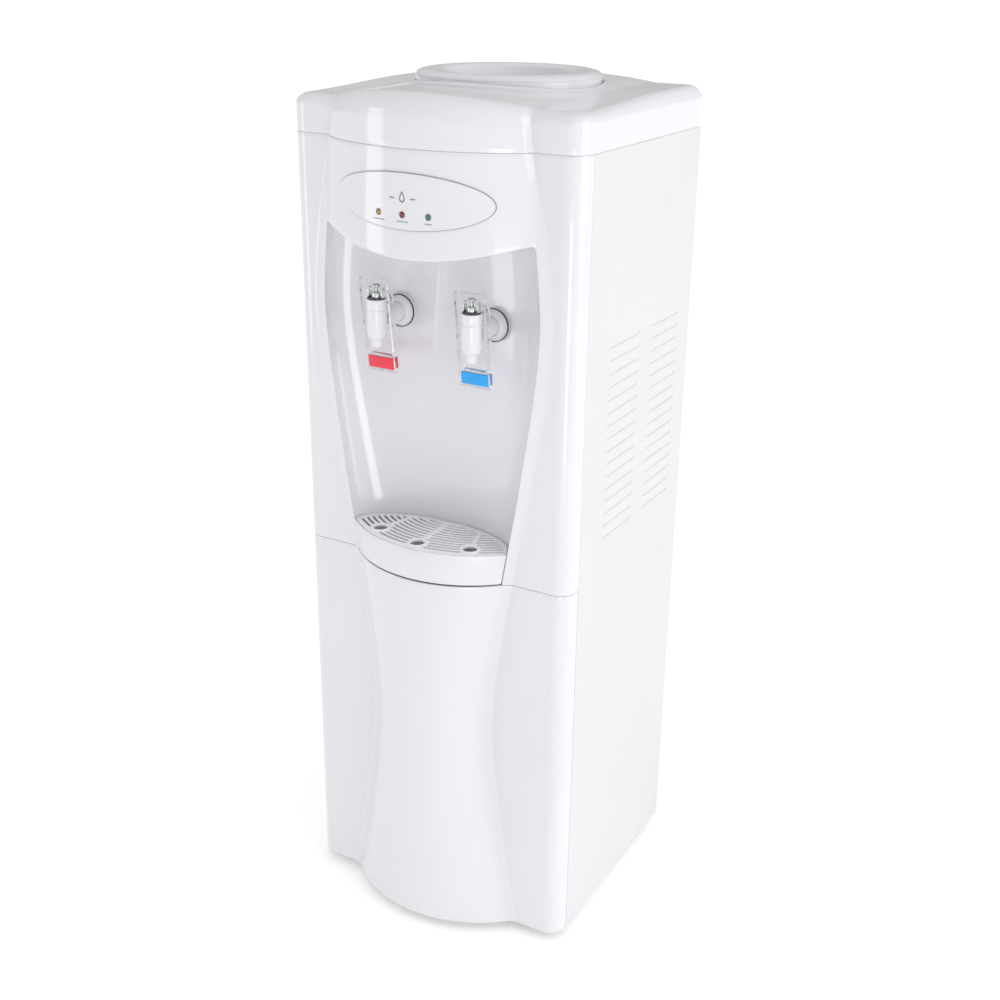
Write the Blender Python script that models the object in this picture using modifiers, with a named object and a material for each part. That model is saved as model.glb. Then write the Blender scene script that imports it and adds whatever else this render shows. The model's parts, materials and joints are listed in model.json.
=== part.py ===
"""Floor-standing hot and cold water dispenser, top-loading, with two push-lever taps.

Metres, +Z up, front towards -Y. The origin is at the centre of the footprint, on the floor.
Depths in this file are measured back from the fairing, the flat front face beside the column,
and at_depth() turns one into the Y of the part's frame.
"""
from math import atan2, cos, pi, radians, sin, sqrt, tan

import bmesh
import bpy
from mathutils import Matrix, Vector

# ---------------------------------------------------------------- driving dimensions
WIDTH = 0.310                 # cabinet, across the side panels
BODY_DEPTH = 0.265            # fairing to back edge
COLUMN_BULGE = 0.042          # how far the column's middle stands out from the fairing
GAP = 0.0003                  # between pieces that touch
BADGE_GAP = 0.0006            # behind the badge plate
BADGE_THICK = 0.0010
LAMP_PROUD = 0.0008           # how far the lamps stand out of the badge
FRONT_REACH = COLUMN_BULGE + BADGE_GAP + BADGE_THICK + LAMP_PROUD
FRONT_Y = -(BODY_DEPTH - FRONT_REACH) / 2
SEAM = 0.0006                 # visible joint between two shells

FOOT_HEIGHT = 0.0095
SHELL_BOTTOM = 0.0100
MID_SEAM_Z = 0.412
TOP_SEAM_Z = 0.827
COVER_EDGE_Z = 0.862
CROWN_HEIGHT = 0.0118         # the cover arches this much above its front edge
CROWN_HALF = 0.104            # half width of the arch
SHOULDER_RISE = 0.0050        # and its sides climb this much towards the back
COVER_EDGE_R = 0.010

SHELL = 0.0025                # plastic wall
SHEET = 0.0012                # steel panel
CORNER_R = 0.018              # front corners of the cabinet
BACK_CORNER_R = 0.004
CORNER_LIP = 0.004            # how far the front shells run along the sides
REAR_PANEL_DEPTH = 0.243      # the rear panel is set in, the condenser sits behind it
REAR_PANEL_BOTTOM = 0.200

# the column: height, half width on the fairing, width and depth of its flank
COLUMN = (
    (0.010, 0.1070, 0.0090, 0.0030),
    (0.120, 0.0880, 0.0090, 0.0040),
    (0.250, 0.0740, 0.0090, 0.0050),
    (0.400, 0.0920, 0.0090, 0.0060),
    (0.530, 0.1145, 0.0110, 0.0050),
    (0.660, 0.1310, 0.0125, 0.0035),
    (0.750, 0.1235, 0.0110, 0.0040),
    (0.827, 0.1070, 0.0040, 0.0080),
    (0.870, 0.1030, 0.0040, 0.0080),
)
ARC_STEPS = 8
CORNER_STEPS = 4

BAY_DEPTH = 0.039             # back of the dispensing bay, at its middle
HEAD_EDGE_Z = 0.729           # lower edge of the head at its middle
HEAD_EDGE_RISE = 0.018        # and how much higher its ends are
CEILING_RISE = 0.004

TRAY_BOTTOM = 0.4150
TRAY_TOP = 0.4460
TRAY_WALL = 0.0022
TRAY_GAP = 0.0005
GRILLE_THICK = 0.0022
SHELF_THICK = 0.0020
SLOT_CENTRE_DEPTH = 0.099     # the grille's slots are arcs about a point behind the tray
SLOT_FIRST_R = 0.1355
SLOT_PITCH = 0.00584
SLOT_ROWS = 12
SLOT_WIDTH = 0.0030
SLOT_LEAST = 0.0045           # a shorter slot is left out
DRAIN_HOLES = ((-0.0525, -0.012), (0.0, -0.025), (0.0525, -0.012))
DRAIN_RIM_R = 0.0102
DRAIN_RIM_HEIGHT = 0.0011
DRAIN_HOLE_R = 0.0070
GRILLE_BORDER = 0.0032
CENTRE_RIB_HALF = 0.0022
SIDE_RIB_HALF = 0.0016
SIDE_RIB_SLOPE = 0.295        # the side ribs close in towards the back

COLLAR_DEPTH = 0.147          # axis of the bottle seat and of both tanks
COLLAR_BASE_R = 0.0910
COLLAR_NECK_R = 0.0905        # where the collar's wall meets its rounded rim
COLLAR_NECK_Z = 0.8765
COLLAR_TOP_Z = 0.882
SEAT_FLOOR_Z = 0.8610         # flat floor under the bottle seat, sunk in the cover
SEAT_CLEARANCE = 0.0007
SEAT_LIP_R = 0.0955           # foot of the low lip that the cover raises round the seat
SEAT_LIP_HEIGHT = 0.0016
SHOULDER_START = -0.090       # the cover's side edges climb from here to there (y)
SHOULDER_END = 0.080
WELL_R = 0.0310
WELL_BOTTOM_Z = 0.822
COVER_HOLE_R = 0.0585

TAP_X = 0.0525
TAP_DEPTH = -0.0105           # axis of the tap barrels, in front of the fairing
TAP_R = 0.0098
TAP_TOP_Z = 0.681
TAP_BOTTOM_Z = 0.6435
SPOUT_R = 0.0058
SPOUT_END_Z = 0.634
SHANK_Z = 0.661
SHANK_R = 0.0095
SHANK_END_DEPTH = 0.056
CHAMBER_R = 0.0072
SEAT_Z = 0.646
FLANGE_R = 0.0160
PAD_DEPTH = 0.0303            # flat pad on the bay wall under each flange
PAD_THICK = 0.0085
PIVOT_Z = 0.6895
PIVOT_R = 0.0013
LEVER_HALF_WIDTH = 0.0170
LEVER_TOP_Z = 0.7015
LEVER_BOTTOM_Z = 0.6075
LEVER_THICK = 0.0070
LEVER_LEAN = radians(7.0)     # the lever hangs back from its pivot
INSERT_HALF = (0.0146, 0.0062)

BADGE_Z = 0.7815
BADGE_HALF = (0.084, 0.0255)
LAMP_Z = 0.770
LAMP_PITCH = 0.026
LAMP_R = 0.0026

STEM_R = 0.0018
STEM_TOP_Z = 0.6950

LOUVRE_ROWS = 16
LOUVRE_PITCH = 0.0130
LOUVRE_Z = 0.4500
LOUVRE_COLUMNS = ((0.072, 0.138), (0.168, 0.234))
LOUVRE_HEIGHT = 0.0040

TANK_R = 0.064
TANK_TOP_Z = 0.850
TANK_BOTTOM_Z = 0.640
HOT_R = 0.045
HOT_TOP_Z = 0.575
HOT_BOTTOM_Z = 0.455
DRAIN_X = 0.080
DRAIN_Z = 0.300
DRAIN_R = 0.0080
GLAND_X = 0.115
GLAND_R = 0.0070
SWITCH_X = -0.085
SWITCH_HALF = (0.026, 0.013)
ROCKER_HALF = (0.0085, 0.0095)
ROCKER_TILT = radians(8)


def at_depth(depth):
    """Y of a point that lies this far behind the fairing."""
    return FRONT_Y + depth


# ---------------------------------------------------------------- scene helpers
def clear_scene():
    for obj in list(bpy.data.objects):
        bpy.data.objects.remove(obj, do_unlink=True)


def new_collection(name):
    collection = bpy.data.collections.new(name)
    bpy.context.scene.collection.children.link(collection)
    return collection


def material(name, colour, roughness, metallic=0.0, alpha=1.0):
    mat = bpy.data.materials.new(name)
    mat.use_nodes = True
    shader = mat.node_tree.nodes["Principled BSDF"]
    shader.inputs["Base Color"].default_value = (*colour, 1.0)
    shader.inputs["Roughness"].default_value = roughness
    shader.inputs["Metallic"].default_value = metallic
    shader.inputs["Alpha"].default_value = alpha
    return mat


clear_scene()
PARTS = new_collection("water_dispenser")
CUTTERS = new_collection("cutters")

WHITE = material("white_plastic", (0.86, 0.86, 0.89), 0.22)
WHITE_STEEL = material("white_steel", (0.85, 0.85, 0.88), 0.30)
GALVANISED = material("galvanised_steel", (0.55, 0.56, 0.58), 0.45, 0.9)
STAINLESS = material("stainless_steel", (0.62, 0.62, 0.64), 0.28, 1.0)
DARK_METAL = material("dark_metal", (0.16, 0.18, 0.18), 0.35, 0.9)
SPRING_STEEL = material("spring_steel", (0.45, 0.45, 0.46), 0.30, 1.0)
COPPER = material("copper", (0.72, 0.38, 0.22), 0.35, 1.0)
BLACK_PAINT = material("black_paint", (0.02, 0.02, 0.022), 0.45)
RUBBER = material("black_rubber", (0.03, 0.03, 0.03), 0.8)
SILICONE = material("silicone", (0.80, 0.80, 0.78), 0.5)
FOAM = material("foam", (0.90, 0.90, 0.88), 0.9)
CLEAR = material("clear_plastic", (0.92, 0.94, 0.96), 0.05, 0.0, 0.35)
RED = material("red_plastic", (0.80, 0.03, 0.06), 0.25)
BLUE = material("blue_plastic", (0.0, 0.32, 0.80), 0.25)
BADGE = material("badge_plastic", (0.84, 0.84, 0.88), 0.15)
AMBER_LENS = material("amber_lens", (0.50, 0.33, 0.10), 0.15)
RED_LENS = material("red_lens", (0.42, 0.03, 0.05), 0.15)
GREEN_LENS = material("green_lens", (0.03, 0.30, 0.22), 0.15)
BOARD = material("circuit_board", (0.05, 0.25, 0.10), 0.5)


def finish(obj, mat):
    """Put an object in its collection, with its one material and smooth round faces."""
    for old in list(obj.users_collection):
        old.objects.unlink(obj)
    PARTS.objects.link(obj)
    obj.data.materials.clear()
    if mat is not None:
        obj.data.materials.append(mat)
    if obj.type == "MESH":
        obj.data.shade_smooth()
        obj.data.set_sharp_from_angle(angle=radians(35))
    return obj


def as_cutter(obj):
    for old in list(obj.users_collection):
        old.objects.unlink(obj)
    CUTTERS.objects.link(obj)
    obj.hide_render = True
    obj.display_type = "WIRE"
    return obj


def apply_scale(obj):
    obj.data.transform(Matrix.Diagonal((*obj.scale, 1.0)))
    obj.scale = (1.0, 1.0, 1.0)


def mesh_object(name, vertices, faces, mat, edges=()):
    mesh = bpy.data.meshes.new(name)
    mesh.from_pydata(vertices, list(edges), faces)
    mesh.update()
    obj = bpy.data.objects.new(name, mesh)
    PARTS.objects.link(obj)
    return finish(obj, mat)


def box(name, low, high, mat=None):
    centre = [(a + b) / 2 for a, b in zip(low, high)]
    bpy.ops.mesh.primitive_cube_add(size=1.0, location=centre)
    obj = bpy.context.object
    obj.name = obj.data.name = name
    obj.scale = [b - a for a, b in zip(low, high)]
    apply_scale(obj)
    return finish(obj, mat)


def cylinder(name, radius, start, end, mat=None, sides=24):
    """A round bar from one point to another."""
    start, end = Vector(start), Vector(end)
    run = end - start
    bpy.ops.mesh.primitive_cylinder_add(vertices=sides, radius=radius, depth=run.length,
                                        location=(start + end) / 2,
                                        rotation=run.to_track_quat("Z", "Y").to_euler())
    obj = bpy.context.object
    obj.name = obj.data.name = name
    return finish(obj, mat)


def lathe(name, profile, location, mat=None, steps=32, ring=False):
    """Turn a profile of (radius, height) points about the vertical through location.

    The profile runs down its outer side. A ring's profile closes on itself.
    """
    count = len(profile)
    vertices = [(radius, 0.0, height) for radius, height in profile]
    edges = [(i, i + 1) for i in range(count - 1)]
    if ring:
        edges.append((count - 1, 0))
    obj = mesh_object(name, vertices, [], mat, edges)
    obj.location = location
    screw = obj.modifiers.new("turn", "SCREW")
    screw.steps = screw.render_steps = steps
    screw.use_merge_vertices = True
    screw.merge_threshold = 0.00001
    screw.use_smooth_shade = True
    return obj


def tube(name, points, radius, mat, resolution=2):
    """A bent tube, as a curve with a round bevel and closed ends."""
    curve = bpy.data.curves.new(name, "CURVE")
    curve.dimensions = "3D"
    curve.bevel_depth = radius
    curve.bevel_resolution = resolution
    curve.use_fill_caps = True
    spline = curve.splines.new("POLY")
    spline.points.add(len(points) - 1)
    for point, place in zip(spline.points, points):
        point.co = (*place, 1.0)
    obj = bpy.data.objects.new(name, curve)
    PARTS.objects.link(obj)
    curve.materials.append(mat)
    return obj


def flat_piece(name, outlines, half_thickness, mat=None, matrix=None):
    """A plate from flat outlines, the first outside and the others holes, made into a mesh."""
    curve = bpy.data.curves.new(name, "CURVE")
    curve.dimensions = "2D"
    curve.fill_mode = "BOTH"
    curve.extrude = half_thickness
    for outline in outlines:
        spline = curve.splines.new("POLY")
        spline.points.add(len(outline) - 1)
        for point, place in zip(spline.points, outline):
            point.co = (*place, 0.0, 1.0)
        spline.use_cyclic_u = True
    guide = bpy.data.objects.new(name + "_outline", curve)
    PARTS.objects.link(guide)
    if matrix is not None:
        guide.matrix_world = matrix
    bpy.context.view_layer.update()
    evaluated = guide.evaluated_get(bpy.context.evaluated_depsgraph_get())
    mesh = bpy.data.meshes.new_from_object(evaluated)
    mesh.name = name
    weld = bmesh.new()
    weld.from_mesh(mesh)
    bmesh.ops.remove_doubles(weld, verts=weld.verts, dist=0.00001)
    bmesh.ops.recalc_face_normals(weld, faces=weld.faces)
    weld.to_mesh(mesh)
    weld.free()
    obj = bpy.data.objects.new(name, mesh)
    PARTS.objects.link(obj)
    obj.matrix_world = guide.matrix_world.copy()
    bpy.data.objects.remove(guide, do_unlink=True)
    return finish(obj, mat)


def loft(name, rings, mat=None):
    """A closed solid through rings that have the same number of points."""
    count = len(rings[0])
    vertices = [point for ring in rings for point in ring]
    faces = []
    for level in range(len(rings) - 1):
        for i in range(count):
            j = (i + 1) % count
            a, b = level * count, (level + 1) * count
            faces.append((a + i, a + j, b + j, b + i))
    faces.append(tuple(reversed(range(count))))
    faces.append(tuple(range((len(rings) - 1) * count, len(rings) * count)))
    obj = mesh_object(name, vertices, faces, mat)
    turn_outward(obj)
    return finish(obj, mat)


def turn_outward(obj):
    work = bmesh.new()
    work.from_mesh(obj.data)
    bmesh.ops.recalc_face_normals(work, faces=work.faces)
    work.to_mesh(obj.data)
    work.free()


def boolean(target, tool, operation):
    as_cutter(tool)
    modifier = target.modifiers.new(operation.lower(), "BOOLEAN")
    modifier.operation = operation
    modifier.solver = "EXACT"
    modifier.object = tool


def cut(target, tool):
    boolean(target, tool, "DIFFERENCE")


def unite(target, tool):
    boolean(target, tool, "UNION")


def thicken(obj, thickness):
    solid = obj.modifiers.new("wall", "SOLIDIFY")
    solid.thickness = thickness
    solid.offset = -1.0
    solid.use_even_offset = True
    solid.use_quality_normals = True


# ---------------------------------------------------------------- the cabinet's outline
def column_at(z):
    """Half width, flank width and flank depth of the column at a height, through its stations."""
    heights = [station[0] for station in COLUMN]
    z = min(max(z, heights[0]), heights[-1])
    k = max(i for i in range(len(COLUMN) - 1) if heights[i] <= z)
    low, high = COLUMN[k], COLUMN[k + 1]
    before = COLUMN[max(k - 1, 0)]
    after = COLUMN[min(k + 2, len(COLUMN) - 1)]
    span = high[0] - low[0]
    t = (z - low[0]) / span
    values = []
    for n in (1, 2, 3):
        slope_low = (high[n] - before[n]) / (high[0] - before[0])
        slope_high = (after[n] - low[n]) / (after[0] - low[0])
        values.append(low[n] * (2 * t ** 3 - 3 * t ** 2 + 1) + high[n] * (3 * t ** 2 - 2 * t ** 3)
                      + span * slope_low * (t ** 3 - 2 * t ** 2 + t)
                      + span * slope_high * (t ** 3 - t ** 2))
    return values


def inner_edge(z):
    """Half width and depth of the column's front face, where its flank begins."""
    half, flank, rise = column_at(z)
    return half - flank, -rise


def arc_depth(x, half, edge_depth, bulge=COLUMN_BULGE):
    """Depth on the arc from the column's middle to its edge."""
    sagitta = bulge + edge_depth
    radius = (half ** 2 + sagitta ** 2) / (2 * sagitta)
    return -bulge + radius - sqrt(radius ** 2 - x ** 2)


def column_point(z, t):
    half, edge = inner_edge(z)
    return half * t, arc_depth(half * t, half, edge)


def bay_point(z, t):
    """A point of the bay wall, an ellipse from the flank's edge to the back of the bay."""
    half, edge = inner_edge(z)
    angle = t * pi / 2
    return half * sin(angle), edge + (BAY_DEPTH - edge) * cos(angle)


def corner_points(radius, depth_low, steps, centre_sign):
    """Quarter circle from the front (or side) face of the cabinet round to the next face."""
    centre_x = WIDTH / 2 - radius
    centre_depth = depth_low + radius * centre_sign
    points = []
    for i in range(steps + 1):
        angle = i / steps * pi / 2
        if centre_sign > 0:
            points.append((centre_x + radius * sin(angle), centre_depth - radius * cos(angle)))
        else:
            points.append((centre_x + radius * cos(angle), centre_depth + radius * sin(angle)))
    return points


def fairing_points(z):
    """Outer end of the flank, the flat fairing, the corner and the lip on the side."""
    half = column_at(z)[0]
    points = [(half, 0.0)]
    points += corner_points(CORNER_R, 0.0, CORNER_STEPS, 1)
    points.append((WIDTH / 2, CORNER_R + CORNER_LIP))
    return points


def sheet_row(heights, centre_function, centre_heights):
    """One row of the front shell, from its left side lip to its right one."""
    half_row = [(*centre_function(z, i / ARC_STEPS), z) for i, z in enumerate(centre_heights)]
    half_row += [(x, depth, heights) for x, depth in fairing_points(heights)]
    right = [(x, at_depth(depth), z) for x, depth, z in half_row]
    left = [(-x, y, z) for x, y, z in reversed(right[1:])]
    return left + right


def flat_row(z, centre_function):
    return sheet_row(z, centre_function, [z] * (ARC_STEPS + 1))


def head_edge_height(share):
    return HEAD_EDGE_Z + HEAD_EDGE_RISE * share ** 2


def front_shell(name, rows):
    """A shell through rows of points. Rows that share points at their ends are welded."""
    count = len(rows[0])
    vertices = [point for row in rows for point in row]
    faces = []
    for level in range(len(rows) - 1):
        for i in range(count - 1):
            a, b = level * count + i, (level + 1) * count + i
            faces.append((a, a + 1, b + 1, b))
    obj = mesh_object(name, vertices, faces, WHITE)
    work = bmesh.new()
    work.from_mesh(obj.data)
    bmesh.ops.remove_doubles(work, verts=work.verts, dist=0.00001)
    bmesh.ops.dissolve_degenerate(work, edges=work.edges, dist=0.00001)
    work.to_mesh(obj.data)
    work.free()
    finish(obj, WHITE)
    thicken(obj, SHELL)
    return obj


# ---------------------------------------------------------------- shell pieces
def front_panel_upper():
    top = TOP_SEAM_Z - SEAM / 2
    rows = [flat_row(z, bay_point) for z in (MID_SEAM_Z + SEAM / 2, 0.447, 0.488, 0.530, 0.575,
                                             0.620, 0.660, 0.695)]
    end_z = head_edge_height(1.0)
    shares = [i / ARC_STEPS for i in range(ARC_STEPS + 1)]
    ceiling = [head_edge_height(sin(t * pi / 2)) + CEILING_RISE * cos(t * pi / 2) for t in shares]
    rows.append(sheet_row(end_z, bay_point, ceiling))
    rows.append(sheet_row(end_z, column_point, [head_edge_height(t) for t in shares]))
    rows += [flat_row(z, column_point) for z in (0.767, 0.787, 0.807, top)]
    shell = front_shell("front_panel_upper", rows)
    for side in (-1, 1):
        place = side * TAP_X
        pad = cylinder("pad", FLANGE_R - 0.0004, (place, at_depth(PAD_DEPTH), SHANK_Z),
                       (place, at_depth(PAD_DEPTH + PAD_THICK), SHANK_Z))
        unite(shell, pad)
        hole = cylinder("shank_hole", SHANK_R + GAP, (place, at_depth(0.02), SHANK_Z),
                        (place, at_depth(0.05), SHANK_Z))
        cut(shell, hole)
    cut_lamp_holes(shell)
    return shell


def cut_lamp_holes(target):
    for n in (-1, 0, 1):
        hole = cylinder("lamp_hole", LAMP_R + GAP, (n * LAMP_PITCH, at_depth(-0.060), LAMP_Z),
                        (n * LAMP_PITCH, at_depth(-0.028), LAMP_Z), sides=16)
        cut(target, hole)


def front_panel_lower():
    heights = (SHELL_BOTTOM, 0.065, 0.120, 0.185, 0.250, 0.310, 0.365, MID_SEAM_Z - SEAM / 2)
    return front_shell("front_panel_lower", [flat_row(z, column_point) for z in heights])


def outline_ring(z_section, inset=0.0):
    """The cabinet's whole outline at a height, anticlockwise from the middle of the front.

    Its points on the sides and the back are evenly spread as seen from the bottle seat's axis.
    """
    half_points = [column_point(z_section, i / ARC_STEPS) for i in range(ARC_STEPS + 1)]
    half_points += [(column_at(z_section)[0], 0.0)]
    half_points += corner_points(CORNER_R, 0.0, CORNER_STEPS, 1)
    half_points += [(WIDTH / 2, COLLAR_DEPTH + WIDTH / 2 * tan(radians(a)))
                    for a in range(-30, 31, 10)]
    half_points += corner_points(BACK_CORNER_R, BODY_DEPTH, 2, -1)
    half_points += [((BODY_DEPTH - COLLAR_DEPTH) / tan(radians(a)), BODY_DEPTH)
                    for a in range(45, 82, 9)]
    half_points += [(0.0, BODY_DEPTH)]
    middle = BODY_DEPTH / 2
    scaled = []
    for x, depth in half_points:
        scaled.append((x * (1 - inset / (WIDTH / 2)),
                       middle + (depth - middle) * (1 - inset / middle)))
    return scaled + [(-x, depth) for x, depth in reversed(scaled[1:-1])]


def shoulder_height(y):
    """The cover's side edges, which climb towards the back."""
    share = min(max((y - SHOULDER_START) / (SHOULDER_END - SHOULDER_START), 0.0), 1.0)
    return COVER_EDGE_Z + SHOULDER_RISE * share * share * (3 - 2 * share)


def cover_height(x, y):
    """The cover's top, an arch across the middle that runs out into the shoulders."""
    arch = max(1 - (x / CROWN_HALF) ** 2, 0.0) ** 0.75
    shoulder = shoulder_height(y)
    return shoulder + (COVER_EDGE_Z + CROWN_HEIGHT - shoulder) * arch


def ring_on_cover(angles, radius, rise):
    """A ring about the bottle seat's axis, this far above the arched top."""
    ring = []
    for angle in angles:
        x, y = radius * cos(angle), at_depth(COLLAR_DEPTH) + radius * sin(angle)
        ring.append((x, y, cover_height(x, y) + rise))
    return ring


def top_cover():
    """A lid: skirt, rounded edge, arched top with a round sunken seat for the bottle's collar."""
    low, shoulder = TOP_SEAM_Z + SEAM / 2, COVER_EDGE_Z - COVER_EDGE_R
    rings = [[(x, at_depth(d), z) for x, d in outline_ring(z)] for z in (low, shoulder)]
    for inset, share in ((0.0015, 0.53), (0.0048, 0.85), (COVER_EDGE_R, 1.0)):
        ring = []
        for x, d in outline_ring(COVER_EDGE_Z, inset):
            y = at_depth(d)
            ring.append((x, y, shoulder + (cover_height(x, y) - shoulder) * share))
        rings.append(ring)
    edge = rings[-1]
    count = len(edge)
    angles = [atan2(y - at_depth(COLLAR_DEPTH), x) for x, y, _ in edge]
    seat_r = COLLAR_BASE_R + SEAT_CLEARANCE
    foot = ring_on_cover(angles, SEAT_LIP_R, 0.0)
    middle = []
    for outer, inner in zip(edge, foot):
        x, y = (outer[0] + inner[0]) / 2, (outer[1] + inner[1]) / 2
        middle.append((x, y, cover_height(x, y)))
    rings += [middle, foot, ring_on_cover(angles, seat_r, SEAT_LIP_HEIGHT)]
    for radius in (seat_r, COVER_HOLE_R):
        rings.append([(radius * cos(a), at_depth(COLLAR_DEPTH) + radius * sin(a), SEAT_FLOOR_Z - GAP)
                      for a in angles])
    vertices = [point for ring in rings for point in ring]
    faces = []
    for level in range(len(rings) - 1):
        for i in range(count):
            j = (i + 1) % count
            a, b = level * count, (level + 1) * count
            faces.append((a + i, a + j, b + j, b + i))
    cover = mesh_object("top_cover", vertices, faces, WHITE)
    thicken(cover, SHELL)
    return cover


def side_panel(name, side):
    outer = side * WIDTH / 2
    inner = side * (WIDTH / 2 - SHEET)
    front = at_depth(CORNER_R + CORNER_LIP + SEAM)
    panel = box(name, (min(outer, inner), front, SHELL_BOTTOM),
                (max(outer, inner), at_depth(BODY_DEPTH), TOP_SEAM_Z - SEAM / 2), WHITE_STEEL)
    louvres = bmesh.new()
    for row in range(LOUVRE_ROWS):
        low = LOUVRE_Z + row * LOUVRE_PITCH
        for start, end in LOUVRE_COLUMNS:
            size = (0.008, end - start, LOUVRE_HEIGHT)
            centre = (outer, at_depth((start + end) / 2), low)
            place = Matrix.Translation(centre) @ Matrix.Diagonal((*size, 1.0))
            bmesh.ops.create_cube(louvres, size=1.0, matrix=place)
    mesh = bpy.data.meshes.new(name + "_louvres")
    louvres.to_mesh(mesh)
    louvres.free()
    slots = bpy.data.objects.new(name + "_louvres", mesh)
    PARTS.objects.link(slots)
    cut(panel, slots)
    return panel


def rear_panel():
    half = WIDTH / 2 - SHEET - GAP
    panel = box("rear_panel", (-half, at_depth(REAR_PANEL_DEPTH), REAR_PANEL_BOTTOM),
                (half, at_depth(REAR_PANEL_DEPTH + SHEET), TOP_SEAM_Z - SEAM / 2), WHITE_STEEL)
    cut(panel, cylinder("drain_hole", DRAIN_R + GAP, (DRAIN_X, at_depth(0.2), DRAIN_Z),
                        (DRAIN_X, at_depth(0.3), DRAIN_Z)))
    cut(panel, cylinder("gland_hole", GLAND_R + GAP, (GLAND_X, at_depth(0.2), DRAIN_Z),
                        (GLAND_X, at_depth(0.3), DRAIN_Z)))
    low, high = switch_block_box(GAP)
    cut(panel, box("switch_hole", (low[0], at_depth(0.2), low[2]), (high[0], at_depth(0.3), high[2])))
    return panel


def base_plate():
    half = WIDTH / 2 - SHEET - GAP
    return box("base_plate", (-half, at_depth(CORNER_R + CORNER_LIP + 0.002), SHELL_BOTTOM),
               (half, at_depth(BODY_DEPTH - 0.002), SHELL_BOTTOM + 0.0020), GALVANISED)


def feet():
    for side, across in (("left", -1), ("right", 1)):
        for end, depth in (("front", 0.040), ("rear", BODY_DEPTH - 0.035)):
            lathe(f"foot_{end}_{side}", [(0.0, FOOT_HEIGHT), (0.0125, FOOT_HEIGHT), (0.0150, 0.0015),
                                         (0.0140, 0.0), (0.0, 0.0)],
                  (across * 0.120, at_depth(depth), 0.0), RUBBER, 20)


# ---------------------------------------------------------------- bottle seat
def bottle_seat():
    """The collar: tapered wall, rounded rim, steep funnel, and the well that the guard sits in."""
    axis = (0.0, at_depth(COLLAR_DEPTH), 0.0)
    low, well_low, top = SEAT_FLOOR_Z, WELL_BOTTOM_Z, COLLAR_TOP_Z
    profile = [(0.0800, top), (0.0850, top - 0.0008), (0.0890, top - 0.0030),
               (COLLAR_NECK_R, COLLAR_NECK_Z), (COLLAR_BASE_R, low), (COLLAR_BASE_R - 0.0030, low),
               (0.0873, 0.8757), (0.0835, 0.8785), (0.0700, 0.8784), (0.0668, 0.8770),
               (0.0630, 0.8680), (0.0385, 0.8588), (WELL_R + SHELL, 0.8530),
               (WELL_R + SHELL, well_low), (0.0240, well_low), (0.0240, well_low + SHELL),
               (WELL_R, well_low + SHELL), (WELL_R, 0.8545), (0.0370, 0.8612), (0.0605, 0.8698),
               (0.0636, 0.8782), (0.0650, 0.8802), (0.0700, top - 0.0008)]
    return lathe("bottle_seat_collar", profile, axis, WHITE, 36, ring=True)


def water_guard():
    axis = (0.0, at_depth(COLLAR_DEPTH), 0.0)
    outer = WELL_R - GAP
    low = WELL_BOTTOM_Z + SHELL + GAP
    profile = [(0.0, 0.8740), (0.0060, 0.8715), (0.0090, 0.8640), (0.0100, low + SHELL),
               (outer - SHELL, low + SHELL), (outer - SHELL, 0.8555), (outer, 0.8535),
               (outer, low), (0.0, low)]
    return lathe("water_guard", profile, axis, WHITE, 24)


def tank_seal():
    axis = (0.0, at_depth(COLLAR_DEPTH), 0.0)
    low, high = TANK_TOP_Z + GAP, SEAT_FLOOR_Z - SHELL - 2 * GAP
    profile = [(TANK_R - 0.0020, high), (TANK_R + 0.0030, high), (TANK_R + 0.0030, low),
               (TANK_R - 0.0020, low)]
    return lathe("tank_seal", profile, axis, SILICONE, 20, ring=True)


# ---------------------------------------------------------------- indicator panel
def badge():
    """A thin oval plate that follows the head's curve, with holes for the three lamps."""
    across, rows = 12, 3
    vertices = []
    for row in range(rows + 1):
        z = BADGE_Z - 0.030 + 0.060 * row / rows
        half, edge = inner_edge(z)
        for i in range(across + 1):
            x = -0.092 + 0.184 * i / across
            vertices.append((x, at_depth(arc_depth(x, half, edge) - BADGE_GAP - BADGE_THICK), z))
    faces = []
    for row in range(rows):
        for i in range(across):
            a, b = row * (across + 1) + i, (row + 1) * (across + 1) + i
            faces.append((a, a + 1, b + 1, b))
    plate = mesh_object("badge_plate", vertices, faces, BADGE)
    thicken(plate, BADGE_THICK)
    oval = [(BADGE_HALF[0] * cos(a), BADGE_HALF[1] * sin(a))
            for a in (2 * pi * i / 40 for i in range(40))]
    upright = Matrix.Translation((0.0, at_depth(-0.025), BADGE_Z)) @ Matrix.Rotation(pi / 2, 4, "X")
    boolean(plate, flat_piece("badge_oval", [oval], 0.035, matrix=upright), "INTERSECT")
    cut_lamp_holes(plate)
    return plate


def lamps():
    board_depth = -0.0310
    for n, (name, mat) in enumerate((("lamp_cooling", AMBER_LENS), ("lamp_heating", RED_LENS),
                                     ("lamp_power", GREEN_LENS)), -1):
        half, edge = inner_edge(LAMP_Z)
        front = arc_depth(abs(n) * LAMP_PITCH, half, edge) - BADGE_THICK - BADGE_GAP
        length = board_depth - GAP - (front - LAMP_PROUD)
        lens = lathe(name, [(0.0, length), (LAMP_R * 0.7, length - 0.0002), (LAMP_R, length - LAMP_PROUD),
                            (LAMP_R, 0.0), (0.0, 0.0)],
                     (n * LAMP_PITCH, at_depth(board_depth - GAP), LAMP_Z), mat, 16)
        lens.rotation_euler = (pi / 2, 0.0, 0.0)
    return box("indicator_board", (-0.040, at_depth(board_depth), LAMP_Z - 0.010),
               (0.040, at_depth(board_depth + 0.0016), LAMP_Z + 0.010), BOARD)


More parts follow.
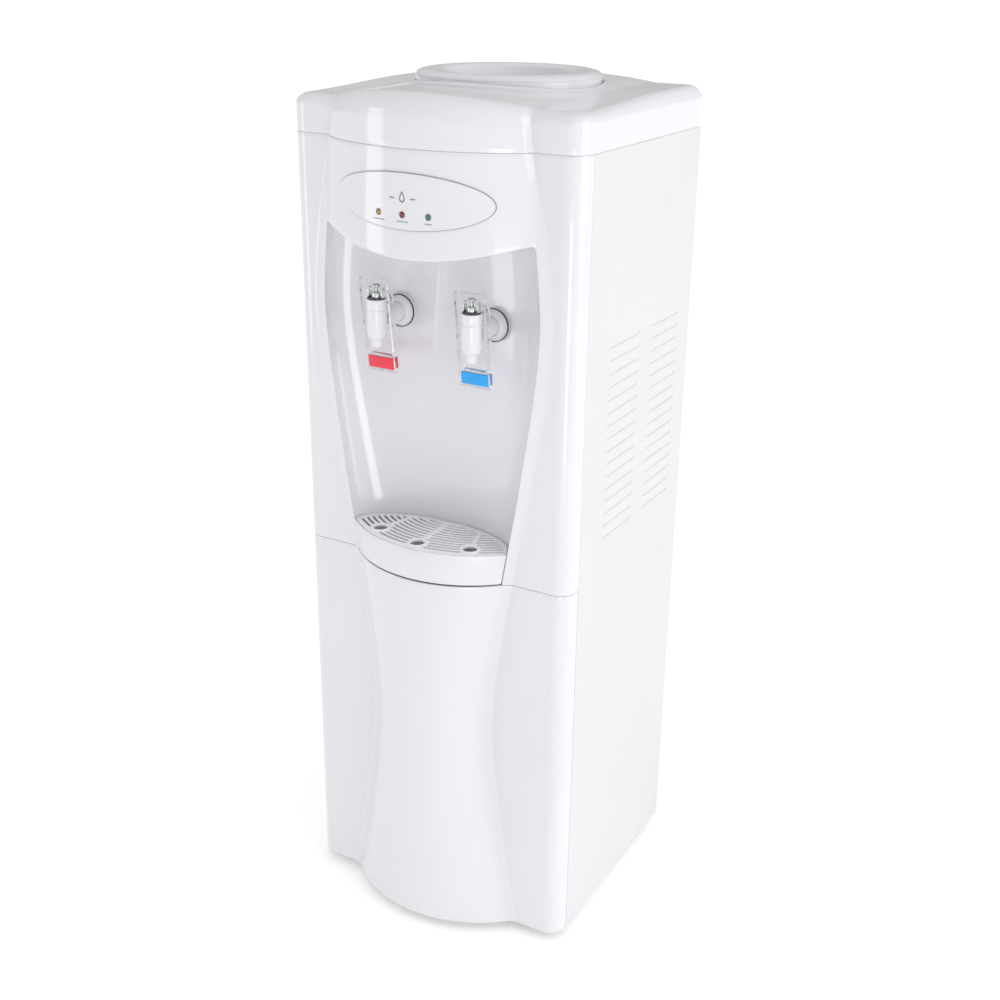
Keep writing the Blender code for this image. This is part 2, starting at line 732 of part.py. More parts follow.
# ---------------------------------------------------------------- taps
def tap_body(prefix, x):
    y = at_depth(TAP_DEPTH)
    body = lathe(prefix + "_tap_body",
                 [(0.0, TAP_TOP_Z), (TAP_R, TAP_TOP_Z), (TAP_R, 0.6500), (0.0085, TAP_BOTTOM_Z),
                  (SPOUT_R, TAP_BOTTOM_Z - 0.0005), (SPOUT_R - 0.0005, SPOUT_END_Z),
                  (0.0, SPOUT_END_Z)], (x, y, 0.0), WHITE, 20)
    unite(body, cylinder("shank", SHANK_R, (x, y, SHANK_Z), (x, at_depth(SHANK_END_DEPTH), SHANK_Z),
                         sides=20))
    cut(body, lathe("chamber", [(0.0, TAP_TOP_Z + 0.002), (CHAMBER_R, TAP_TOP_Z + 0.002),
                                (CHAMBER_R, SEAT_Z), (0.0036, SEAT_Z),
                                (0.0036, SPOUT_END_Z - 0.002), (0.0, SPOUT_END_Z - 0.002)],
                    (x, y, 0.0), None, 12))
    cut(body, cylinder("water_way", 0.0040, (x, y + 0.001, SHANK_Z),
                       (x, at_depth(SHANK_END_DEPTH + 0.002), SHANK_Z), sides=12))
    return body


def tap_flange(prefix, x):
    flange = lathe(prefix + "_tap_flange",
                   [(SHANK_R + GAP, 0.0033), (FLANGE_R - 0.0012, 0.0033), (FLANGE_R, 0.0020),
                    (FLANGE_R, 0.0), (SHANK_R + GAP, 0.0)],
                   (x, at_depth(PAD_DEPTH - GAP), SHANK_Z), WHITE, 20, ring=True)
    flange.rotation_euler = (pi / 2, 0.0, 0.0)
    return flange


def shank_nut(prefix, x):
    radius = 0.0145
    start = PAD_DEPTH + PAD_THICK + GAP
    nut = cylinder(prefix + "_shank_nut", radius, (x, at_depth(start), SHANK_Z),
                   (x, at_depth(start + 0.007), SHANK_Z), WHITE, 6)
    cut(nut, cylinder("nut_bore", SHANK_R + GAP, (x, at_depth(start - 0.002), SHANK_Z),
                      (x, at_depth(start + 0.010), SHANK_Z)))
    return nut


def tap_bonnet(prefix, x):
    """The ring on top of the barrel, with two ears that carry the lever."""
    y = at_depth(TAP_DEPTH)
    low = TAP_TOP_Z + GAP
    bonnet = cylinder(prefix + "_tap_bonnet", TAP_R + 0.0002, (x, y, low), (x, y, low + 0.0030),
                      DARK_METAL, 24)
    for side in (-1, 1):
        ear = box("ear", (x + side * 0.0078 - 0.0010, y - 0.0032, low + 0.0010),
                  (x + side * 0.0078 + 0.0010, y + 0.0032, PIVOT_Z + 0.0030))
        unite(bonnet, ear)
    cut(bonnet, cylinder("stem_hole", STEM_R + 0.0004, (x, y, low - 0.002), (x, y, low + 0.006),
                         sides=12))
    cut(bonnet, cylinder("pivot_hole", PIVOT_R + 0.0003, (x - 0.02, y, PIVOT_Z),
                         (x + 0.02, y, PIVOT_Z), sides=12))
    return bonnet


def tap_stem(prefix, x):
    place = (x, at_depth(TAP_DEPTH), 0.0)
    return lathe(prefix + "_tap_stem",
                 [(0.0, STEM_TOP_Z), (0.0030, STEM_TOP_Z), (0.0038, STEM_TOP_Z - 0.0008),
                  (0.0038, STEM_TOP_Z - 0.0024), (STEM_R, STEM_TOP_Z - 0.0030),
                  (STEM_R, SEAT_Z + 0.0065), (0.0, SEAT_Z + 0.0065)], place, SPRING_STEEL, 16)


def valve_plug(prefix, x):
    place = (x, at_depth(TAP_DEPTH), 0.0)
    low = SEAT_Z + GAP
    return lathe(prefix + "_valve_plug",
                 [(0.0, low + 0.0055), (0.0045, low + 0.0055), (0.0060, low + 0.0040),
                  (0.0060, low + 0.0008), (0.0052, low), (0.0, low)], place, SILICONE, 16)


def tap_spring(prefix, x):
    y = at_depth(TAP_DEPTH)
    low, high, turns, per_turn = SEAT_Z + 0.0070, TAP_TOP_Z - 0.0010, 4, 7
    count = turns * per_turn
    points = []
    for i in range(count + 1):
        angle = 2 * pi * i / per_turn
        points.append((x + 0.0042 * cos(angle), y + 0.0042 * sin(angle),
                       low + (high - low) * i / count))
    return tube(prefix + "_tap_spring", points, 0.0005, SPRING_STEEL, 1)


def rounded_rectangle(x_low, z_low, x_high, z_high, radius, steps=3):
    points = []
    corners = ((x_high - radius, z_high - radius, 0), (x_low + radius, z_high - radius, 1),
               (x_low + radius, z_low + radius, 2), (x_high - radius, z_low + radius, 3))
    for cx, cz, quarter in corners:
        for i in range(steps + 1):
            angle = (quarter + i / steps) * pi / 2
            points.append((cx + radius * cos(angle), cz + radius * sin(angle)))
    return points


def tap_lever(prefix, x):
    """A clear stirrup round the barrel: arms, top bar, and a window for the coloured insert.

    Its outline is drawn about the pivot, so the piece's origin is on the hinge axis.
    """
    width = LEVER_HALF_WIDTH
    top, bottom = LEVER_TOP_Z - PIVOT_Z, LEVER_BOTTOM_Z - PIVOT_Z
    insert_x, insert_z = INSERT_HALF
    centre = insert_centre()
    outline = rounded_rectangle(-width, bottom, width, top, 0.0035)
    gap = rounded_rectangle(-width + 0.0030, centre + insert_z + 0.0030, width - 0.0030,
                            top - 0.0028, 0.0020, 2)
    window = rounded_rectangle(-insert_x - GAP, centre - insert_z - GAP, insert_x + GAP,
                               centre + insert_z + GAP, 0.0010, 1)
    lever = flat_piece(prefix + "_tap_lever", [outline, gap, window], LEVER_THICK / 2, CLEAR,
                       lever_frame(x))
    for side in (-1, 1):
        pin = cylinder("trunnion", PIVOT_R, (x + side * 0.0062, at_depth(TAP_DEPTH), PIVOT_Z),
                       (x + side * (width - 0.0010), at_depth(TAP_DEPTH), PIVOT_Z), sides=12)
        unite(lever, pin)
    return lever


def insert_centre():
    return LEVER_BOTTOM_Z - PIVOT_Z + INSERT_HALF[1] + 0.0030


def lever_frame(x):
    return (Matrix.Translation((x, at_depth(TAP_DEPTH), PIVOT_Z))
            @ Matrix.Rotation(pi / 2 + LEVER_LEAN, 4, "X"))


def lever_insert(prefix, x, mat):
    insert_x, insert_z = INSERT_HALF
    centre = insert_centre()
    outline = rounded_rectangle(-insert_x, centre - insert_z, insert_x, centre + insert_z, 0.0008, 1)
    return flat_piece(prefix + "_lever_insert", [outline], LEVER_THICK / 2 + 0.0004, mat,
                      lever_frame(x))


def taps():
    for prefix, x, mat in (("hot", -TAP_X, RED), ("cold", TAP_X, BLUE)):
        tap_body(prefix, x)
        tap_flange(prefix, x)
        shank_nut(prefix, x)
        tap_bonnet(prefix, x)
        tap_stem(prefix, x)
        valve_plug(prefix, x)
        tap_spring(prefix, x)
        tap_lever(prefix, x)
        lever_insert(prefix, x, mat)


# ---------------------------------------------------------------- drip tray
def tray_ring(z, inset, front_inset, steps=10):
    """The tray's outline at a height: the column's arc in front, the bay's ellipse behind."""
    half, edge = inner_edge(z)
    reach = half - TRAY_GAP - inset
    points = []
    for i in range(-steps, steps + 1):
        x = reach * i / steps
        points.append((x, at_depth(arc_depth(x, half, edge) + front_inset), z))
    back = BAY_DEPTH - TRAY_GAP - inset
    start = edge + front_inset
    for i in range(1, 2 * steps):
        angle = i / (2 * steps) * pi
        points.append((reach * cos(angle), at_depth(start + (back - start) * sin(angle)), z))
    return points


def drip_tray():
    low = MID_SEAM_Z + 0.0012
    heights = (TRAY_BOTTOM, 0.5 * (TRAY_BOTTOM + TRAY_TOP), TRAY_TOP)
    tray = loft("drip_tray", [tray_ring(z, 0.0, 0.0) for z in heights], WHITE)
    inside = [tray_ring(min(z, TRAY_TOP), TRAY_WALL, TRAY_WALL) for z in
              (TRAY_BOTTOM + TRAY_WALL, TRAY_TOP)]
    above = [(x, y, TRAY_TOP + 0.005) for x, y, z in inside[1]]
    cut(tray, loft("tray_hollow", [*inside, above]))
    skirt = [[(x, y, z) for x, y, _ in front_strip(TRAY_BOTTOM)] for z in (low, TRAY_BOTTOM + 0.0010)]
    unite(tray, loft("tray_skirt", skirt))
    return tray


def front_strip(z):
    """Plan of the tray's front wall, a curved strip that hides the shelf's edge."""
    half, edge = inner_edge(z)
    reach = half - 0.0060
    front = [reach * i / 10 for i in range(-10, 11)]
    outer = [(x, at_depth(arc_depth(x, half, edge) + 0.0002), z) for x in front]
    inner = [(x, at_depth(arc_depth(x, half, edge) + 0.0020), z) for x in reversed(front)]
    return outer + inner


def tray_shelf():
    """The bay's floor under the tray."""
    z = TRAY_BOTTOM - GAP
    ring = [(x, y) for x, y, _ in tray_ring(z, 0.0020, 0.0030)]
    shelf = flat_piece("tray_shelf", [ring], SHELF_THICK / 2, WHITE,
                       Matrix.Translation((0.0, 0.0, z - SHELF_THICK / 2)))
    return shelf


def drip_grille():
    """A thin plate with curved slots, and a raised rim round each of the three drain holes."""
    z = TRAY_TOP - GRILLE_THICK / 2
    inset = TRAY_WALL + 0.0006
    plan = [(x, y) for x, y, _ in tray_ring(TRAY_TOP - GRILLE_THICK, inset, inset)]
    grille = flat_piece("drip_grille", [plan, *slot_outlines()], GRILLE_THICK / 2, WHITE,
                        Matrix.Translation((0.0, 0.0, z)))
    for x, depth in DRAIN_HOLES:
        y = at_depth(depth)
        unite(grille, cylinder("rim", DRAIN_RIM_R, (x, y, z), (x, y, TRAY_TOP + DRAIN_RIM_HEIGHT),
                               sides=20))
        cut(grille, cylinder("drain_hole", DRAIN_HOLE_R, (x, y, z - 0.01), (x, y, z + 0.01), sides=20))
    return grille


def slot_allowed(x, depth):
    """Whether a slot may pass this point: inside the border, clear of the ribs and the rims."""
    clear = SLOT_WIDTH / 2
    half, edge = inner_edge(TRAY_TOP)
    border = TRAY_WALL + GRILLE_BORDER + clear
    reach = half - TRAY_GAP - border
    if x < CENTRE_RIB_HALF + clear or x > reach:
        return False
    side_rib = TAP_X - (depth - DRAIN_HOLES[0][1]) * SIDE_RIB_SLOPE
    if abs(x - side_rib) < SIDE_RIB_HALF + clear:
        return False
    for hole_x, hole_depth in DRAIN_HOLES[1:]:
        if sqrt((x - hole_x) ** 2 + (depth - hole_depth) ** 2) < DRAIN_RIM_R + 0.0004 + clear:
            return False
    back = edge + (BAY_DEPTH - border - edge) * sqrt(max(1 - (x / reach) ** 2, 0.0))
    return arc_depth(x, half, edge) + 1.2 * border < depth < back


def slot_outlines():
    """Arcs of slots on the right half, and their mirror images."""
    outlines = []
    samples = 480
    for row in range(SLOT_ROWS):
        radius = SLOT_FIRST_R - row * SLOT_PITCH
        run = []
        for i in range(samples + 1):
            angle = radians(60) * i / samples
            x, depth = radius * sin(angle), SLOT_CENTRE_DEPTH - radius * cos(angle)
            if i < samples and slot_allowed(x, depth):
                run.append(angle)
                continue
            if run and (run[-1] - run[0]) * radius > SLOT_LEAST:
                outlines += slot_outline(radius, run[0], run[-1])
            run = []
    return outlines


def slot_outline(radius, start, end):
    """One slot along an arc, with square ends, and the same slot on the left."""
    steps = max(round((end - start) * radius / 0.012), 1)
    angles = [start + (end - start) * i / steps for i in range(steps + 1)]
    rim = [(radius + SLOT_WIDTH / 2, a) for a in angles]
    rim += [(radius - SLOT_WIDTH / 2, a) for a in reversed(angles)]
    right = [(r * sin(a), at_depth(SLOT_CENTRE_DEPTH - r * cos(a))) for r, a in rim]
    return [right, [(-x, y) for x, y in reversed(right)]]


# ---------------------------------------------------------------- inside the cabinet


def tank_axis(z=0.0):
    return (0.0, at_depth(COLLAR_DEPTH), z)


def cold_tank():
    wall = 0.0012
    inner = TANK_R - wall
    return lathe("cold_tank", [(TANK_R, TANK_TOP_Z), (TANK_R, TANK_BOTTOM_Z + 0.006),
                               (TANK_R - 0.006, TANK_BOTTOM_Z), (0.0, TANK_BOTTOM_Z),
                               (0.0, TANK_BOTTOM_Z + wall), (inner - 0.006, TANK_BOTTOM_Z + wall),
                               (inner, TANK_BOTTOM_Z + 0.006 + wall), (inner, TANK_TOP_Z)],
                 tank_axis(), STAINLESS, 24, ring=True)


def separator():
    radius = TANK_R - 0.0018
    return lathe("tank_separator", [(0.0080, 0.7300), (radius - 0.006, 0.7260), (radius, 0.7300),
                                    (radius, 0.7275), (radius - 0.006, 0.7235), (0.0100, 0.7270),
                                    (0.0100, 0.6600), (0.0080, 0.6600)],
                 tank_axis(), WHITE, 16, ring=True)


def evaporator_coil():
    turns, per_turn, radius, tube_r = 4, 12, TANK_R + 0.0060, 0.0030
    count = turns * per_turn
    points = []
    for i in range(count + 1):
        angle = 2 * pi * i / per_turn
        points.append((radius * cos(angle), at_depth(COLLAR_DEPTH) + radius * sin(angle),
                       0.690 + 0.060 * i / count))
    return tube("evaporator_coil", points, tube_r, COPPER, 1)


def tank_insulation():
    inner, outer = TANK_R + 0.0105, TANK_R + 0.0235
    return lathe("tank_insulation", [(inner, TANK_TOP_Z - 0.006), (outer, TANK_TOP_Z - 0.006),
                                     (outer, TANK_BOTTOM_Z - 0.016), (0.048, TANK_BOTTOM_Z - 0.016),
                                     (0.048, TANK_BOTTOM_Z - GAP), (inner, TANK_BOTTOM_Z - GAP)],
                 tank_axis(), FOAM, 24, ring=True)


def hot_tank():
    wall = 0.0012
    inner = HOT_R - wall
    neck = 0.0060
    return lathe("hot_tank", [(neck, HOT_TOP_Z), (HOT_R - 0.010, HOT_TOP_Z), (HOT_R, HOT_TOP_Z - 0.008),
                              (HOT_R, HOT_BOTTOM_Z + 0.008), (HOT_R - 0.010, HOT_BOTTOM_Z),
                              (0.0, HOT_BOTTOM_Z), (0.0, HOT_BOTTOM_Z + wall),
                              (inner - 0.010, HOT_BOTTOM_Z + wall), (inner, HOT_BOTTOM_Z + 0.009),
                              (inner, HOT_TOP_Z - 0.009), (inner - 0.010, HOT_TOP_Z - wall),
                              (neck, HOT_TOP_Z - wall)],
                 tank_axis(), STAINLESS, 20, ring=True)


def band_heater():
    inner = HOT_R + GAP
    return lathe("band_heater", [(inner, 0.525), (inner + 0.003, 0.525), (inner + 0.003, 0.495),
                                 (inner, 0.495)], tank_axis(), DARK_METAL, 20, ring=True)


def thermostat():
    start = HOT_R + 0.0004
    y = at_depth(COLLAR_DEPTH)
    return cylinder("hot_thermostat", 0.0085, (start, y, 0.555), (start + 0.009, y, 0.555),
                    BLACK_PAINT, 16)


def smooth_route(points, steps=6):
    """Points of a smooth curve through a route chosen by hand."""
    places = [Vector(p) for p in points]
    ends = [2 * places[0] - places[1], *places, 2 * places[-1] - places[-2]]
    route = []
    for k in range(1, len(ends) - 2):
        p0, p1, p2, p3 = ends[k - 1:k + 3]
        for i in range(steps):
            t = i / steps
            route.append(0.5 * (2 * p1 + (p2 - p0) * t + (2 * p0 - 5 * p1 + 4 * p2 - p3) * t ** 2
                                + (3 * p1 - p0 - 3 * p2 + p3) * t ** 3))
    route.append(places[-1])
    return route


def hoses():
    clear = 0.0010
    start = SHANK_END_DEPTH + 2 * clear
    tubes = (
        ("cold_hose", ((TAP_X, at_depth(start), SHANK_Z), (TAP_X, at_depth(start + 0.003), SHANK_Z),
                       (TAP_X, at_depth(0.067), 0.653), (0.052, at_depth(0.068), 0.632),
                       (0.048, at_depth(0.077), 0.610), (0.040, at_depth(0.105), 0.602),
                       (0.034, at_depth(0.129), 0.615), (0.034, at_depth(0.131), 0.632),
                       (0.034, at_depth(0.131), TANK_BOTTOM_Z - clear))),
        ("hot_hose", ((-TAP_X, at_depth(start), SHANK_Z), (-TAP_X, at_depth(start + 0.003), SHANK_Z),
                      (-TAP_X, at_depth(0.067), 0.653), (-0.052, at_depth(0.068), 0.632),
                      (-0.048, at_depth(0.077), 0.610), (-0.034, at_depth(0.105), 0.601),
                      (-0.023, at_depth(0.128), 0.596), (-0.022, at_depth(0.130), 0.584),
                      (-0.022, at_depth(0.130), HOT_TOP_Z + clear))),
        ("hot_feed_hose", (tank_axis(TANK_BOTTOM_Z - clear), tank_axis(HOT_TOP_Z + clear))),
        ("drain_hose", (tank_axis(HOT_BOTTOM_Z - clear), tank_axis(HOT_BOTTOM_Z - 0.010),
                        (0.004, at_depth(0.152), 0.415), (0.040, at_depth(0.180), 0.345),
                        (0.072, at_depth(0.195), 0.307), (DRAIN_X, at_depth(0.214), DRAIN_Z),
                        (DRAIN_X, at_depth(0.224), DRAIN_Z),
                        (DRAIN_X, at_depth(REAR_PANEL_DEPTH - 0.0095 - clear), DRAIN_Z))),
    )
    for name, route in tubes:
        tube(name, smooth_route(route, 2), 0.0055, SILICONE, 1)


def drain_outlet():
    outlet = lathe("drain_outlet", [(0.0045, 0.0200), (DRAIN_R, 0.0200), (DRAIN_R, 0.0090),
                                    (0.0120, 0.0090), (0.0120, 0.0060), (DRAIN_R, 0.0060),
                                    (DRAIN_R, 0.0), (0.0045, 0.0)],
                   (DRAIN_X, at_depth(REAR_PANEL_DEPTH - 0.0095), DRAIN_Z), WHITE, 14, ring=True)
    outlet.rotation_euler = (-pi / 2, 0.0, 0.0)
    cap = lathe("drain_cap", [(0.0, 0.0105), (0.0100, 0.0105), (0.0110, 0.0095), (0.0110, 0.0),
                              (DRAIN_R + 0.0004, 0.0), (DRAIN_R + 0.0004, 0.0080), (0.0, 0.0080)],
                (DRAIN_X, at_depth(REAR_PANEL_DEPTH + 0.0032), DRAIN_Z), BLUE, 16)
    cap.rotation_euler = (-pi / 2, 0.0, 0.0)


def switch_block_box(margin=0.0):
    half_x, half_z = SWITCH_HALF
    return ((SWITCH_X - half_x - margin, at_depth(REAR_PANEL_DEPTH - 0.012), DRAIN_Z - half_z - margin),
            (SWITCH_X + half_x + margin, at_depth(REAR_PANEL_DEPTH + 0.0045), DRAIN_Z + half_z + margin))


def switches():
    low, high = switch_block_box()
    block = box("switch_block", low, high, BLACK_PAINT)
    for name, mat, offset in (("heating_switch", RED, -0.0125), ("cooling_switch", BLUE, 0.0125)):
        x = SWITCH_X + offset
        half_x, half_z = ROCKER_HALF
        front = at_depth(REAR_PANEL_DEPTH + 0.0045)
        pocket = box("pocket", (x - half_x - 0.0006, front - 0.0100, DRAIN_Z - half_z - 0.0010),
                     (x + half_x + 0.0006, front + 0.002, DRAIN_Z + half_z + 0.0010))
        cut(block, pocket)
        rocker = rocker_switch(name, half_x, half_z, mat)
        rocker.location = (x, front - 0.0035, DRAIN_Z)
        rocker.rotation_euler = (-ROCKER_TILT, 0.0, 0.0)


def rocker_switch(name, half_x, half_z, mat):
    """A rocker whose face is a shallow V, drawn about its pivot."""
    outline = [(-0.0030, -half_z), (0.0042, -half_z), (0.0030, 0.0), (0.0042, half_z),
               (-0.0030, half_z)]
    turned = Matrix.Rotation(pi / 2, 4, "Y") @ Matrix.Rotation(pi / 2, 4, "Z")
    rocker = flat_piece(name, [outline], half_x, mat, turned)
    rocker.data.transform(turned)
    rocker.matrix_world = Matrix.Identity(4)
    return rocker


def cord_gland():
    gland = lathe("cord_gland", [(0.0, 0.016), (0.0055, 0.016), (0.0060, 0.0120), (0.0100, 0.0110),
                                 (0.0100, 0.0085), (GLAND_R, 0.0085), (GLAND_R, 0.0), (0.0, 0.0)],
                  (GLAND_X, at_depth(REAR_PANEL_DEPTH - 0.0070), DRAIN_Z), BLACK_PAINT, 14)
    gland.rotation_euler = (-pi / 2, 0.0, 0.0)
    return gland


def compressor():
    low = SHELL_BOTTOM + 0.0020 + GAP
    x, y = -0.020, at_depth(0.165)
    shell = lathe("compressor", [(0.0, 0.158), (0.030, 0.155), (0.050, 0.143), (0.058, 0.125),
                                 (0.060, 0.088), (0.062, 0.086), (0.062, 0.082), (0.060, 0.080),
                                 (0.057, 0.050), (0.046, 0.034), (0.024, 0.026), (0.0, 0.025)],
                  (x, y, 0.0), BLACK_PAINT, 18)
    unite(shell, box("mount_plate", (x - 0.075, y - 0.055, 0.0240), (x + 0.075, y + 0.055, 0.0270)))
    for side in (-1, 1):
        for end in (-1, 1):
            post = (x + side * 0.062, y + end * 0.044)
            unite(shell, cylinder("grommet", 0.0080, (*post, low), (*post, 0.0250), sides=12))
    return shell


def condenser():
    """A serpentine tube in the space behind the rear panel."""
    passes, half, low, pitch, bend = 10, 0.118, 0.372, 0.044, 0.022
    y = at_depth(REAR_PANEL_DEPTH + 0.0095)
    points = []
    for row in range(passes):
        z = low + row * pitch
        side = 1 if row % 2 == 0 else -1
        points.append((-side * half, y, z))
        if row < passes - 1:
            for i in range(4):
                angle = -pi / 2 + i * pi / 4
                points.append((side * (half + bend * cos(angle)), y, z + bend + bend * sin(angle)))
        else:
            points.append((side * half, y, z))
    return tube("condenser", tidy(points), 0.0026, BLACK_PAINT, 1)


def tidy(points):
    kept = [points[0]]
    for point in points[1:]:
        if (Vector(point) - Vector(kept[-1])).length > 0.001:
            kept.append(point)
    return kept


def filter_drier():
    return lathe("filter_drier", [(0.0, 0.190), (0.0030, 0.188), (0.0035, 0.176), (0.0090, 0.168),
                                  (0.0090, 0.112), (0.0035, 0.104), (0.0030, 0.092), (0.0, 0.090)],
                 (0.095, at_depth(0.215), 0.0), COPPER, 16)


def build():
    front_panel_upper()
    front_panel_lower()
    top_cover()
    side_panel("side_panel_left", -1)
    side_panel("side_panel_right", 1)
    rear_panel()
    base_plate()
    feet()
    bottle_seat()
    water_guard()
    tank_seal()
    badge()
    lamps()
    taps()
    drip_tray()
    tray_shelf()
    drip_grille()
    cold_tank()
    separator()
    evaporator_coil()
    tank_insulation()
    hot_tank()
    band_heater()
    thermostat()
    hoses()
    drain_outlet()
    switches()
    cord_gland()
    compressor()
    condenser()
    filter_drier()


build()
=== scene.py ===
"""Looks of a floor-standing hot and cold water dispenser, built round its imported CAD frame.

Metres, +Z up, the front towards -Y. Depths are measured back from the fairing, as in the CAD.
"""
import json
from math import acos, asin, atan2, ceil, cos, pi, radians, sin, sqrt

import bmesh
import bpy
from mathutils import Matrix, Vector


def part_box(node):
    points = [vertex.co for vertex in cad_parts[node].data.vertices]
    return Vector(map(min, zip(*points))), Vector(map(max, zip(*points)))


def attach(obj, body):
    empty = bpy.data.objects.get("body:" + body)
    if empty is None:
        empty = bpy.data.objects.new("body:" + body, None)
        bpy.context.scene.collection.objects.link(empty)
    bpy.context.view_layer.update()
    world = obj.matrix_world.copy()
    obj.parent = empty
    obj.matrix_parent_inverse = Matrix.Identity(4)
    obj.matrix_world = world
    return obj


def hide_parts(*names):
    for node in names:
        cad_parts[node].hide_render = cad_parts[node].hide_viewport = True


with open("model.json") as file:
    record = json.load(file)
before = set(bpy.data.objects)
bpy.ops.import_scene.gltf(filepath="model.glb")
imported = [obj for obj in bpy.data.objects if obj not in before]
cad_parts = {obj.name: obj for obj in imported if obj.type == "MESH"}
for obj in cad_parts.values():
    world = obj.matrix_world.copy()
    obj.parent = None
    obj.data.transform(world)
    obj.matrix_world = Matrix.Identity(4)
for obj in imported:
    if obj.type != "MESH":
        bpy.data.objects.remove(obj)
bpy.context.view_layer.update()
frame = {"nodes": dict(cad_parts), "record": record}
NODES = frame["nodes"]

# ---- dimensions shared with the CAD
WIDTH = 0.310
BODY_DEPTH = 0.265
COLUMN_BULGE = 0.042
BADGE_GAP = 0.0006
BADGE_THICK = 0.0010
LAMP_PROUD = 0.0008
FRONT_Y = -(BODY_DEPTH - COLUMN_BULGE - BADGE_GAP - BADGE_THICK - LAMP_PROUD) / 2
SEAM = 0.0006
SHELL_BOTTOM = 0.0100
MID_SEAM_Z = 0.412
TOP_SEAM_Z = 0.827
COVER_EDGE_Z = 0.862
CROWN_HEIGHT = 0.0118
CROWN_HALF = 0.104
SHOULDER_RISE = 0.0050
SHOULDER_START = -0.090
SHOULDER_END = 0.080
COVER_EDGE_R = 0.010
SHELL = 0.0025
SHEET = 0.0012
CORNER_R = 0.018
BACK_CORNER_R = 0.004
CORNER_LIP = 0.004
REAR_PANEL_DEPTH = 0.243
COLUMN = (
    (0.010, 0.1070, 0.0090, 0.0030),
    (0.120, 0.0880, 0.0090, 0.0040),
    (0.250, 0.0740, 0.0090, 0.0050),
    (0.400, 0.0920, 0.0090, 0.0060),
    (0.530, 0.1145, 0.0110, 0.0050),
    (0.660, 0.1310, 0.0125, 0.0035),
    (0.750, 0.1235, 0.0110, 0.0040),
    (0.827, 0.1070, 0.0040, 0.0080),
    (0.870, 0.1030, 0.0040, 0.0080),
)
BAY_DEPTH = 0.039
HEAD_EDGE_Z = 0.729
HEAD_EDGE_RISE = 0.018
CEILING_RISE = 0.004
TRAY_BOTTOM = 0.4150
TRAY_TOP = 0.4460
TRAY_WALL = 0.0022
TRAY_GAP = 0.0005
COLLAR_DEPTH = 0.147
COLLAR_BASE_R = 0.0910
COLLAR_NECK_R = 0.0905
COLLAR_NECK_Z = 0.8765
COLLAR_TOP_Z = 0.882
SEAT_FLOOR_Z = 0.8610
SEAT_CLEARANCE = 0.0006
SEAT_LIP_R = 0.0955
SEAT_LIP_HEIGHT = 0.0016
WELL_BOTTOM_Z = 0.822
COVER_HOLE_R = 0.0585
WELL_R = 0.0310
TAP_X = 0.0525
TAP_DEPTH = -0.0105
TAP_R = 0.0098
TAP_TOP_Z = 0.681
SPOUT_R = 0.0058
SPOUT_END_Z = 0.634
SHANK_Z = 0.661
SHANK_R = 0.0095
SEAT_Z = 0.646
CHAMBER_R = 0.0072
FLANGE_R = 0.0160
PAD_DEPTH = 0.0303
PIVOT_Z = 0.6895
PIVOT_R = 0.0013
LEVER_HALF_WIDTH = 0.0170
LEVER_TOP_Z = 0.7015
LEVER_BOTTOM_Z = 0.6075
LEVER_THICK = 0.0070
LEVER_LEAN = radians(7.0)
INSERT_HALF = (0.0146, 0.0062)
BADGE_Z = 0.7815
BADGE_HALF = (0.084, 0.0255)
LAMP_Z = 0.770
LAMP_PITCH = 0.026
LAMP_R = 0.0026
LOUVRE_ROWS = 16
LOUVRE_PITCH = 0.0130
LOUVRE_Z = 0.4500
LOUVRE_COLUMNS = ((0.072, 0.138), (0.168, 0.234))
LOUVRE_HEIGHT = 0.0040
AXIS_Y = FRONT_Y + COLLAR_DEPTH


def at_depth(depth):
    return FRONT_Y + depth


# ---- materials
def feed(tree, node, *inputs, **named):
    """Sets a node's inputs, in order or by name (_ for a space), to values or the sockets that feed them."""
    pairs = [*zip(node.inputs, inputs), *((node.inputs[k.replace("_", " ")], v) for k, v in named.items())]
    for socket, value in pairs:
        if isinstance(value, bpy.types.NodeSocket):
            tree.links.new(value, socket)
        else:
            socket.default_value = value
    return node


